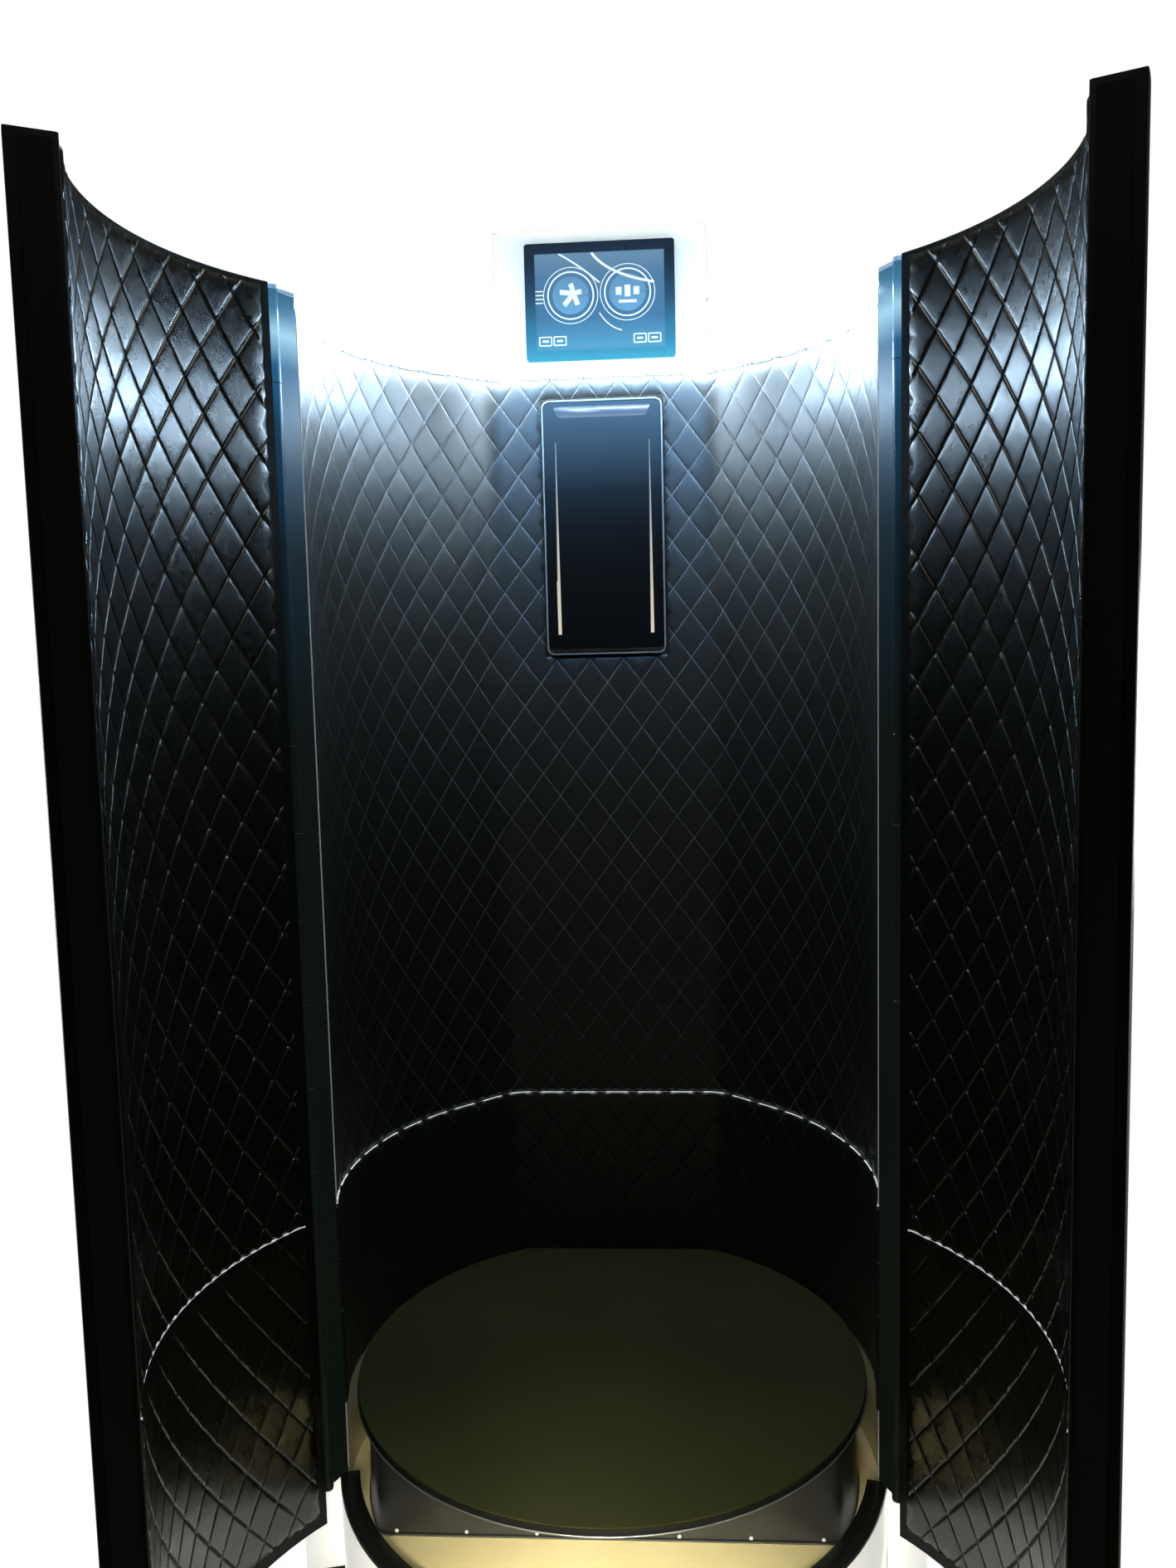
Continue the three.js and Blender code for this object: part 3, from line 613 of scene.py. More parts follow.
def cut_window(bm: bmesh.types.BMesh, low: tuple[float, float], high: tuple[float, float]) -> None:
    """Opens a window in a flat sheet or slab, given by its corners in X and Z."""
    lines = [((low[0], 0, 0), (1, 0, 0)), ((high[0], 0, 0), (1, 0, 0)),
             ((0, 0, low[1]), (0, 0, 1)), ((0, 0, high[1]), (0, 0, 1))]
    for point, normal in lines:
        bmesh.ops.bisect_plane(bm, geom=bm.verts[:] + bm.edges[:] + bm.faces[:], plane_co=point,
                               plane_no=normal, dist=1e-7)
    inside = []
    for f in bm.faces:
        c = f.calc_center_median()
        if low[0] < c.x < high[0] and low[1] < c.z < high[1]:
            inside.append(f)
    bmesh.ops.delete(bm, geom=inside, context="FACES")


# ------------------------------------------------------------------ lines in plan


class Line:
    """A line in plan. Flat X runs along it, and flat Y runs out of the cabin."""

    def spot(self, s: np.ndarray) -> tuple[np.ndarray, np.ndarray]:
        """Points on the line and its outward normals, for places along it."""
        raise NotImplementedError

    def bend(self, bm: bmesh.types.BMesh) -> bmesh.types.BMesh:
        """Bends a flat bmesh to the line."""
        flat = np.array([v.co[:] for v in bm.verts])
        point, normal = self.spot(flat[:, 0])
        bent = point + normal * flat[:, 1:2]
        for v, (x, y), z in zip(bm.verts, bent, flat[:, 2]):
            v.co = (x, y, z)
        return bm


@dataclass
class WallLine(Line):
    """The quilting's inner face: flat behind the user, a bend, a straight and then round to the jamb."""

    radius: float
    back_y: float
    bend_radius: float
    bend_angle: float
    jamb_angle: float

    def __post_init__(self) -> None:
        """Works out the lengths of its stretches."""
        angle = math.radians(self.bend_angle)
        self.bend_y = self.back_y - self.bend_radius
        self.bend_x = (self.radius - self.bend_radius - self.bend_y * math.sin(angle)) / math.cos(angle)
        out = np.array([math.cos(angle), math.sin(angle)])
        self.straight_from = np.array([self.bend_x, self.bend_y]) + self.bend_radius * out
        self.straight_to = self.radius * out
        straight = float(np.linalg.norm(self.straight_to - self.straight_from))
        turn = math.pi / 2 - angle
        lengths = [self.bend_x, self.bend_radius * turn, straight,
                   self.radius * (angle + math.radians(self.jamb_angle))]
        self.stops = np.concatenate([[0.0], np.cumsum(lengths)])

    @property
    def half(self) -> float:
        """Length from the middle of the back to a jamb."""
        return float(self.stops[-1])

    def spot(self, s: np.ndarray) -> tuple[np.ndarray, np.ndarray]:
        """Points and normals; s is 0 at the middle of the back and positive to the right."""
        side = np.where(s < 0, -1.0, 1.0)
        d = np.abs(s)
        a0, a1, a2, a3 = self.stops[:4]
        angle = math.radians(self.bend_angle)
        turned = math.pi / 2 - np.clip(d - a1, 0, a2 - a1) / self.bend_radius
        around = angle - np.clip(d - a3, 0, None) / self.radius
        theta = np.where(d < a3, turned, around)
        normal = np.stack([np.cos(theta), np.sin(theta)], 1)
        flat = np.stack([np.clip(d, a0, a1), np.full_like(d, self.back_y)], 1)
        bend = np.array([self.bend_x, self.bend_y]) + self.bend_radius * normal
        share = np.clip((d - a2) / (a3 - a2), 0, 1)[:, None]
        straight = self.straight_from + (self.straight_to - self.straight_from) * share
        point = np.where((d <= a1)[:, None], flat, np.where((d <= a2)[:, None], bend,
                         np.where((d <= a3)[:, None], straight, self.radius * normal)))
        mirror = np.stack([side, np.ones_like(side)], 1)
        return point * mirror, normal * mirror


@dataclass
class DoorLine(Line):
    """A door's inner face, turned open about its hinge. Flat X is 0 on the X axis of the shut door."""

    side: int
    radius: float
    hinge: tuple[float, float]
    open_degrees: float

    def at(self, degrees: float) -> float:
        """The place along the line at an angle in front of the X axis."""
        return self.side * self.radius * math.radians(degrees)

    def span(self, start: float, end: float) -> tuple[float, float]:
        """Two angles as a low and a high place along the line."""
        low, high = sorted((self.at(start), self.at(end)))
        return low, high

    def turn(self, points: np.ndarray, about: Sequence[float] = (0, 0)) -> np.ndarray:
        """Points or directions turned by the door's opening."""
        angle = math.radians(self.side * self.open_degrees)
        c, s = math.cos(angle), math.sin(angle)
        rel = points - np.array(about)
        return np.stack([rel[:, 0] * c - rel[:, 1] * s, rel[:, 0] * s + rel[:, 1] * c], 1) + np.array(about)

    def spot(self, s: np.ndarray) -> tuple[np.ndarray, np.ndarray]:
        """Points and normals of the open door."""
        theta = self.side * s / self.radius
        normal = np.stack([self.side * np.cos(theta), -np.sin(theta)], 1)
        return self.turn(self.radius * normal, self.hinge), self.turn(normal)


@dataclass
class RoundLine(Line):
    """A full circle or part of one; flat X is 0 at the front and positive to the left."""

    radius: float

    def spot(self, s: np.ndarray) -> tuple[np.ndarray, np.ndarray]:
        """Points and normals."""
        theta = -math.pi / 2 - s / self.radius
        normal = np.stack([np.cos(theta), np.sin(theta)], 1)
        return self.radius * normal, normal


@dataclass
class SkirtLine(Line):
    """The skirt's line: a straight front with rounded corners that runs back along a circle."""

    radius: float
    front_y: float
    corner: float

    def __post_init__(self) -> None:
        """Finds where the corner's arc meets the straight front and the circle."""
        self.centre_y = self.front_y + self.corner
        reach = self.radius - self.corner
        self.centre_x = math.sqrt(reach * reach - self.centre_y * self.centre_y)
        self.leave = math.atan2(self.centre_y, self.centre_x)
        self.a1 = self.centre_x
        self.a2 = self.a1 + self.corner * (math.pi / 2 + self.leave)

    def spot(self, s: np.ndarray) -> tuple[np.ndarray, np.ndarray]:
        """Points and normals; s is 0 at the front's middle and positive to the left."""
        side = np.where(s < 0, 1.0, -1.0)
        d = np.abs(s)
        theta = -math.pi / 2 + np.clip(d - self.a1, 0, self.a2 - self.a1) / self.corner
        theta = theta + np.clip(d - self.a2, 0, None) / self.radius
        normal = np.stack([np.cos(theta), np.sin(theta)], 1)
        front = np.stack([np.minimum(d, self.a1), np.full_like(d, self.front_y)], 1)
        corner = np.array([self.centre_x, self.centre_y]) + self.corner * normal
        point = np.where((d <= self.a1)[:, None], front,
                         np.where((d <= self.a2)[:, None], corner, self.radius * normal))
        mirror = np.stack([side, np.ones_like(side)], 1)
        return point * mirror, normal * mirror


# ------------------------------------------------------------------ quilting and piping


@dataclass
class Quilting:
    """Padded leatherette sewn in upright diamonds."""

    diamond_width: float = 0.054
    diamond_height: float = 0.073
    puff: float = 1.8 * MM
    fullness: float = 0.20
    crown_out: float = -0.8 * MM
    cuts: int = 8
    rolled_edge: float = 3.0 * MM
    calm_top: float = 0.06
    skin: float = 4.0 * MM
    tuck: float = 1.5 * MM
    spread: tuple[float, ...] = (0.0, 0.022, 0.09, 0.24, 0.5, 0.76, 0.91, 0.978)

    def lattice(self, s: np.ndarray, z: np.ndarray) -> tuple[np.ndarray, np.ndarray]:
        """Seam coordinates of flat points: seams lie where either is a whole number."""
        across, upward = s / self.diamond_width, z / self.diamond_height
        return across + upward, upward - across

    def sheet(self, along: tuple[float, float], up: tuple[float, float],
              window: Optional[tuple] = None) -> bmesh.types.BMesh:
        """A flat sheet whose faces follow the seams, trimmed to a rectangle.

        Args:
            along: its ends along X.
            up: its ends in height.
            window: two corners of an opening, or None.

        Returns:
            The trimmed sheet, flat in X and Z.
        """
        corners = [self.lattice(np.array([s]), np.array([z])) for s in along for z in up]
        u_low = math.floor(min(c[0][0] for c in corners))
        v_low = math.floor(min(c[1][0] for c in corners))
        count = max(math.ceil(max(c[0][0] for c in corners)) - u_low,
                    math.ceil(max(c[1][0] for c in corners)) - v_low)
        steps = count * self.cuts
        bm = bmesh.new()
        bmesh.ops.create_grid(bm, x_segments=steps, y_segments=steps, size=1.0)
        for v in bm.verts:
            i, j = round((v.co.x + 1) / 2 * steps), round((v.co.y + 1) / 2 * steps)
            u = u_low + i // self.cuts + self.spread[i % self.cuts]
            w = v_low + j // self.cuts + self.spread[j % self.cuts]
            v.co = ((u - w) / 2 * self.diamond_width, 0.0, (u + w) / 2 * self.diamond_height)
        for point, normal in (((along[0], 0, 0), (-1, 0, 0)), ((along[1], 0, 0), (1, 0, 0)),
                              ((0, 0, up[0]), (0, 0, -1)), ((0, 0, up[1]), (0, 0, 1))):
            bmesh.ops.bisect_plane(bm, geom=bm.verts[:] + bm.edges[:] + bm.faces[:], plane_co=point,
                                   plane_no=normal, clear_outer=True, dist=1e-6)
        if window is not None:
            cut_window(bm, *window)
        bmesh.ops.recalc_face_normals(bm, faces=bm.faces)
        return bm

    def puffed(self, flat: np.ndarray, along: tuple, up: tuple, window: Optional[tuple],
               slack: float) -> np.ndarray:
        """How far out each flat point of the sewn sheet lies: high seams, full diamonds, rolled edges."""
        s, z = flat[:, 0], flat[:, 2]
        u, v = self.lattice(s, z)
        fu, fv = u - np.floor(u), v - np.floor(v)
        pillow = (np.clip(4 * fu * (1 - fu), 0, 1) * np.clip(4 * fv * (1 - fv), 0, 1)) ** self.fullness
        cell = np.floor(u) * 12.9898 + np.floor(v) * 78.233
        uneven = 0.88 + 0.12 * np.sin(cell * 1.7) * np.cos(cell * 0.9)
        edge = np.minimum.reduce([s - along[0], along[1] - s, z - up[0], up[1] - z])
        if window is not None:
            (s0, z0), (s1, z1) = window
            apart = np.maximum.reduce([s0 - s, s - s1, z0 - z, z - z1])
            edge = np.minimum(edge, apart)
        roll = np.clip(edge / self.rolled_edge, 0, 1)
        full = np.sqrt(np.clip(1 - (1 - roll) ** 2, 0, 1))
        calm = np.clip(0.4 + (up[1] - z) / self.calm_top, 0, 1)
        sunk = self.puff * slack * calm * (1 - pillow * uneven * full)
        return self.crown_out + sunk + self.tuck * (1 - full)

    def pad(self, name: str, line: Line, along: tuple[float, float], up: tuple[float, float], body: str,
            node: str, window: Optional[tuple] = None, slack: float = 1.0,
            finish: Finish = LEATHER) -> bpy.types.Object:
        """Args:
            name: the piece's name.
            line: the line that it is bent to.
            along: its ends along the line.
            up: its bottom and top.
            body: what it rides on.
            node: the CAD pad that it stands for.
            window: two flat corners of an opening, or None.
            slack: how deep its seams are, next to the usual depth.
            finish: its material.

        Returns:
            The finished pad.
        """
        bm = self.sheet(along, up, window)
        flat = np.array([v.co[:] for v in bm.verts])
        uv = bm.loops.layers.uv.new("lattice")
        u, v = self.lattice(flat[:, 0], flat[:, 2])
        bm.verts.index_update()
        for face in bm.faces:
            for loop in face.loops:
                loop[uv].uv = (u[loop.vert.index], v[loop.vert.index])
        out = self.puffed(flat, along, up, window, slack)
        for vert, y in zip(bm.verts, out):
            vert.co.y = y
        line.bend(bm)
        if sum(f.normal.dot(Vector((-f.calc_center_median().x, -f.calc_center_median().y, 0)))
               for f in list(bm.faces)[:50]) < 0:
            bmesh.ops.reverse_faces(bm, faces=bm.faces)
        piece = add_piece(name, bm, finish, body, [node])
        piece.data.set_sharp_from_angle(angle=math.radians(180))
        add_modifier(piece, "SOLIDIFY", thickness=self.skin, offset=-1.0, use_rim=True)
        return piece


def bead(name: str, path: Sequence[Sequence[float]], radius: float, finish: Finish, body: str,
         sides: int = 8) -> bpy.types.Object:
    """A round bead or cord swept along points, its ends closed."""
    curve = bpy.data.curves.new(name, "CURVE")
    curve.dimensions = "3D"
    spline = curve.splines.new("POLY")
    spline.points.add(len(path) - 1)
    for point, place in zip(spline.points, path):
        point.co = (*place, 1.0)
    curve.bevel_depth = radius
    curve.bevel_resolution = max(1, sides // 4)
    curve.use_fill_caps = True
    holder = bpy.data.objects.new(name, curve)
    bpy.context.scene.collection.objects.link(holder)
    bpy.context.view_layer.update()
    mesh = bpy.data.meshes.new_from_object(holder.evaluated_get(bpy.context.evaluated_depsgraph_get()))
    bpy.data.objects.remove(holder)
    bm = bmesh.new()
    bm.from_mesh(mesh)
    bpy.data.meshes.remove(mesh)
    bmesh.ops.remove_doubles(bm, verts=bm.verts, dist=1e-6)
    bmesh.ops.recalc_face_normals(bm, faces=bm.faces)
    return add_piece(name, bm, finish, body)


def level_path(line: Line, along: tuple[float, float], out: float, z: float,
               step: float = 0.008) -> list[tuple[float, float, float]]:
    """Points at one height along a line."""
    s = np.linspace(along[0], along[1], max(2, int((along[1] - along[0]) / step)))
    point, normal = line.spot(s)
    return [(x, y, z) for x, y in point + normal * out]


def upright_path(line: Line, s: float, out: float,
                 up: tuple[float, float]) -> list[tuple[float, float, float]]:
    """Points up a line at one place along it."""
    point, normal = line.spot(np.array([s]))
    x, y = (point + normal * out)[0]
    return [(x, y, z) for z in np.linspace(up[0], up[1], 12)]


# ------------------------------------------------------------------ sub-assemblies


@dataclass
class Wall:
    """The fixed wall: quilting, piping, rim light, cap, skirting, plinth and outer shell."""

    quilting: Quilting
    pad: float = 10 * MM
    wall: float = 62 * MM
    jamb_angle: float = 13.5
    bend_angle: float = 48.0
    bend_radius: float = 0.060
    post_angle: float = 9.0
    piping_radius: float = 1.4 * MM
    edge_in: float = 0.9 * MM
    edge_foot: float = 0.184
    edge_radius: float = 0.9 * MM
    cap_proud: float = 0.12 * MM
    line: WallLine = field(init=False)

    def __post_init__(self) -> None:
        """Reads the wall's sizes from the frame."""
        low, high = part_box("wall_quilt_upper")
        self.line = WallLine(high.x - self.pad, high.y - self.pad, self.bend_radius, self.bend_angle,
                             self.jamb_angle)
        self.upper = (low.z, high.z)
        low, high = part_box("wall_quilt_lower")
        self.lower = (low.z, high.z)

    def slab(self, name: str, nodes: Sequence[str], through: tuple[float, float], end_angle: float,
             finish: Finish, window: Optional[tuple] = None) -> None:
        """A smooth bent slab in place of wall nodes of the same height."""
        low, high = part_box(nodes[0])
        half = self.line.half - self.line.radius * math.radians(self.jamb_angle - end_angle)
        bm = flat_slab((-half, half), through, (low.z, high.z))
        if window is not None:
            cut_window(bm, *window)
            rims = [e for e in bm.edges if e.is_boundary]
            bmesh.ops.bridge_loops(bm, edges=rims)
        add_piece(name, self.line.bend(bm), finish, "cabin", nodes)

    def jamb_cap(self, label: str) -> None:
        """A thin light cap on top of a jamb post."""
        node = f"jamb_post_{label}"
        bm = bmesh.new()
        bm.from_mesh(frame["nodes"][node].data)
        bmesh.ops.remove_doubles(bm, verts=bm.verts, dist=1e-5)
        bmesh.ops.bisect_plane(bm, geom=bm.verts[:] + bm.edges[:] + bm.faces[:], dist=1e-6,
                               plane_co=(0, 0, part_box(node)[1].z - 5 * MM), plane_no=(0, 0, -1),
                               clear_outer=True)
        bmesh.ops.holes_fill(bm, edges=[e for e in bm.edges if e.is_boundary])
        bmesh.ops.recalc_face_normals(bm, faces=bm.faces)
        bm.normal_update()
        for v in bm.verts:
            v.co += v.normal * self.cap_proud
        add_piece(f"jamb_cap_{label}", bm, JAMB_CAP, "cabin")

    def build(self) -> None:
        """Makes every piece of the wall."""
        half = self.line.half
        panel_low, panel_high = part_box("panel_surround")
        gap = 0.4 * MM
        window = ((panel_low.x - gap, panel_low.z - gap), (panel_high.x + gap, panel_high.z + gap))
        self.quilting.pad("wall_quilting_upper", self.line, (-half, half), self.upper, "cabin",
                          "wall_quilt_upper", window, slack=0.62, finish=WALL_LEATHER)
        self.quilting.pad("wall_quilting_lower", self.line, (-half, half), self.lower, "cabin",
                          "wall_quilt_lower", slack=0.4, finish=WALL_LEATHER)
        bead("wall_piping", level_path(self.line, (-half, half), -1.0 * MM, self.upper[0] - 0.1 * MM),
             self.piping_radius, PIPING, "cabin")
        duct_low, duct_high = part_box("cold_air_duct")
        hole = ((duct_low.x - gap, duct_low.z - gap), (duct_high.x + gap, duct_high.z + gap))
        self.slab("rim_diffuser", ["rim_light"], (0.0, self.pad), self.jamb_angle, RIM_GLOW)
        self.slab("rim_capping", ["rim_cap"], (self.pad + gap, self.wall), self.post_angle, BLACK_SHEET)
        self.slab("skirting_panel", ["wall_skirting"], (0.0, self.pad), self.jamb_angle, CREAM)
        self.slab("plinth_cover", ["base_plinth"], (self.pad + gap, self.wall), self.jamb_angle, BASE_WHITE)
        for label, s in (("left", -half + self.edge_in), ("right", half - self.edge_in)):
            path = upright_path(self.line, s, -0.6 * MM, (self.edge_foot, self.upper[1]))
            bead(f"wall_edge_bead_{label}", path, self.edge_radius, EDGE_PAINTED_HIGHLIGHT, "cabin")
        for label in ("left", "right"):
            self.jamb_cap(label)
        self.slab("wall_outer_skin", ["wall_outer_shell_left", "wall_outer_shell_right", "wall_back_plate"],
                  (self.wall - 5.7 * MM, self.wall), self.post_angle, BLACK_SHEET, hole)


@dataclass
class Door:
    """One curved door: quilting, piping, edge stitches, outer skin and end screws."""

    side: int
    label: str
    quilting: Quilting
    radius: float = 0.387
    frame_out: float = 37 * MM
    skin_out: float = 44 * MM
    start: float = 20.0
    end: float = 89.0
    pad_start: float = 22.05
    pad_end: float = 87.15
    stitch_pitch: float = 7.0 * MM
    barrel_length: float = 0.110
    barrel_radius: float = 7.9 * MM
    cap_in: float = 0.4 * MM
    cap_out: float = 43.6 * MM
    cap_thick: float = 1.5 * MM
    screw_radii: tuple[float, float] = (0.398, 0.413)
    line: DoorLine = field(init=False)

    def __post_init__(self) -> None:
        """Reads the hinge and the open angle from the frame's joint."""
        joint = next(j for j in frame["joints"] if j["name"] == f"{self.label}_door_hinge")
        x, y, _ = joint["pos_m"]
        self.line = DoorLine(self.side, self.radius, (x, y), -joint["range_deg"][0])
        self.body = f"{self.label}_door"

    def level_span(self, node: str) -> tuple[float, float]:
        """Bottom and top of a node of this door."""
        low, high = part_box(f"{node}_{self.label}")
        return low.z, high.z

    def stitches(self) -> bmesh.types.BMesh:
        """A row of short thread stitches up the quilting's border near the free edge."""
        low, _ = self.level_span("door_quilt_lower")
        _, high = self.level_span("door_quilt_upper")
        place = self.line.at(self.pad_end - 0.75)
        parts = []
        for i in range(int((high - low - 0.02) / self.stitch_pitch)):
            z = low + 0.01 + i * self.stitch_pitch
            corners = (place - 0.8 * MM, -1.7 * MM, z), (place + 0.8 * MM, 0.4 * MM, z + 4.4 * MM)
            parts.append(box_mesh(*corners, 0.5 * MM, 1))
        return self.line.bend(join(parts))

    def build(self) -> None:
        """Makes every piece of the door."""
        along = self.line.span(self.pad_start, self.pad_end)
        for part, slack in (("upper", 1.0), ("lower", 0.6)):
            self.quilting.pad(f"door_quilting_{part}_{self.label}", self.line, along,
                              self.level_span(f"door_quilt_{part}"), self.body,
                              f"door_quilt_{part}_{self.label}", slack=slack)
        seam = self.level_span("door_quilt_upper")[0]
        bead(f"door_piping_{self.label}", level_path(self.line, along, -1.7 * MM, seam - 0.1 * MM),
             1.7 * MM, PIPING, self.body)
        bottom = self.level_span("door_quilt_lower")[0]
        top = self.level_span("door_quilt_upper")[1]
        edge = self.line.at(self.pad_start + 0.15)
        bead(f"door_edge_bead_{self.label}", upright_path(self.line, edge, 0.4 * MM, (bottom, top)),
             1.5 * MM, EDGE_BEAD, self.body)
        bead(f"door_top_bead_{self.label}", level_path(self.line, along, 0.6 * MM, top + 0.4 * MM),
             1.2 * MM, EDGE_BEAD, self.body)
        add_piece(f"door_edge_stitches_{self.label}", self.stitches(), THREAD, self.body)

        strip = flat_slab(self.line.span(self.pad_end + 0.12, self.end), (-0.9 * MM, 0.2 * MM),
                          self.level_span("door_frame"), round_by=0.4 * MM)
        add_piece(f"door_edge_strip_{self.label}", self.line.bend(strip), EDGE_STRIP, self.body)
        skin = flat_slab(self.line.span(self.start, self.end), (self.frame_out + 0.3 * MM, self.skin_out),
                         self.level_span("door_outer_shell"))
        add_piece(f"door_outer_skin_{self.label}", self.line.bend(skin), BLACK_SHEET, self.body,
                  [f"door_outer_shell_{self.label}"])
        self.end_cap()
        self.screws()
        self.hinge_barrel()

    def hinge_barrel(self) -> None:
        """Long hinge barrel in short lengths, every second one fixed to the door."""
        x, y = self.line.hinge
        low, high = self.level_span("hinge_pin")
        count = round((high - low) / self.barrel_length)
        step = (high - low) / count
        for body in (self.body, "cabin"):
            parts = []
            for i in range(0 if body == "cabin" else 1, count, 2):
                end, r = step - 0.8 * MM, self.barrel_radius
                tube = spun([(0, 0), (r - 0.6 * MM, 0), (r, 0.6 * MM), (r, end - 0.6 * MM),
                             (r - 0.6 * MM, end), (0, end)], 24)
                bmesh.ops.translate(tube, vec=(x, y, low + i * step), verts=tube.verts)
                parts.append(tube)
            add_piece(f"hinge_barrel_{self.label}_{body}", join(parts), JAMB_PAINTED_REFLECTION, body)

    def end_cap(self) -> None:
        """A flat cover with eased edges over the door's free end."""
        low, high = self.level_span("door_frame")
        cap = box_mesh((-0.8 * MM, self.cap_in, low), (self.cap_thick, self.cap_out, high), 0.7 * MM, 2)
        angle = math.radians(self.end)
        for v in cap.verts:
            along = self.line.radius + v.co.y
            spot = np.array([[self.side * (along * math.cos(angle) - v.co.x * math.sin(angle)),
                              -along * math.sin(angle) - v.co.x * math.cos(angle)]])
            px, py = self.line.turn(spot, self.line.hinge)[0]
            v.co = (px, py, v.co.z)
        bmesh.ops.recalc_face_normals(cap, faces=cap.faces)
        add_piece(f"door_end_cap_{self.label}", cap, FRAME_COAT, self.body)

    def screws(self) -> None:
        """Two domed screws near the top of the free end."""
        top = self.level_span("door_quilt_upper")[1]
        angle = math.radians(self.end)
        along = np.array([[self.side * math.cos(angle), -math.sin(angle)]])
        across = np.array([[-self.side * math.sin(angle), -math.cos(angle)]])
        parts = []
        for radius in self.screw_radii:
            spot = along * radius + across * (self.cap_thick + 0.1 * MM)
            centre = self.line.turn(spot, self.line.hinge)[0]
            out = self.line.turn(across)[0]
            head = spun([(0, 1.2 * MM), (1.2 * MM, 1.0 * MM), (2.0 * MM, 0.3 * MM), (2.0 * MM, -1.0 * MM),
                         (0, -1.0 * MM)], 20)
            turn = Vector((0, 0, 1)).rotation_difference(Vector((*out, 0))).to_matrix().to_4x4()
            bmesh.ops.transform(head, matrix=Matrix.Translation((*centre, top - 8 * MM)) @ turn,
                                verts=head.verts)
            parts.append(head)
        add_piece(f"door_end_screws_{self.label}", join(parts), STUD, self.body)


@dataclass
class Base:
    """Threshold ring with its apron, and feet."""

    ring_radius: float = 0.354
    ring_angle: float = 13.8
    ring_depth: float = 10 * MM

    def build(self) -> None:
        """Makes the smooth ring and rounded feet."""
        low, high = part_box("threshold_ring")
        width = high.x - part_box("platform_board")[1].x
        half = self.ring_radius * math.radians(90 - self.ring_angle)
        log.info("ring is %.0f mm wide", 1000 * width)
        out, line = -low.y - self.ring_radius, RoundLine(self.ring_radius)
        ring = flat_slab((-half, half), (0.0, out), (high.z - self.ring_depth, high.z), round_by=2.2 * MM)
        add_piece("threshold_ring_smooth", line.bend(ring), RING_COAT, "cabin",
                  ["threshold_ring"])
        apron = flat_slab((-half, half), (0.6 * MM, out - 1.0 * MM),
                          (low.z, high.z - self.ring_depth - 0.2 * MM))
        add_piece("threshold_apron", line.bend(apron), BASE_WHITE, "cabin",
                  ["threshold_ring"])
        for node in [n for n in frame["nodes"] if n.startswith("foot_")]:
            self.foot(node)

    @staticmethod
    def foot(node: str) -> None:
        """A levelling foot with a rubber sole, a stem and a lock nut."""
        low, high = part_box(node)
        centre = (low + high) / 2
        top = high.z - low.z
        profile = [(0, 0), (0.020, 0), (0.022, 0.0015), (0.022, 0.0045), (0.0205, 0.0065), (0.010, 0.0105),
                   (0.006, 0.012), (0.006, 0.022), (0.010, 0.0222), (0.010, 0.030), (0.006, 0.0302),
                   (0.006, top), (0, top)]
        bm = spun(profile, 40)
        bmesh.ops.translate(bm, vec=(centre.x, centre.y, low.z), verts=bm.verts)
        add_piece(f"{node}_turned", bm, STEEL, "cabin", [node])


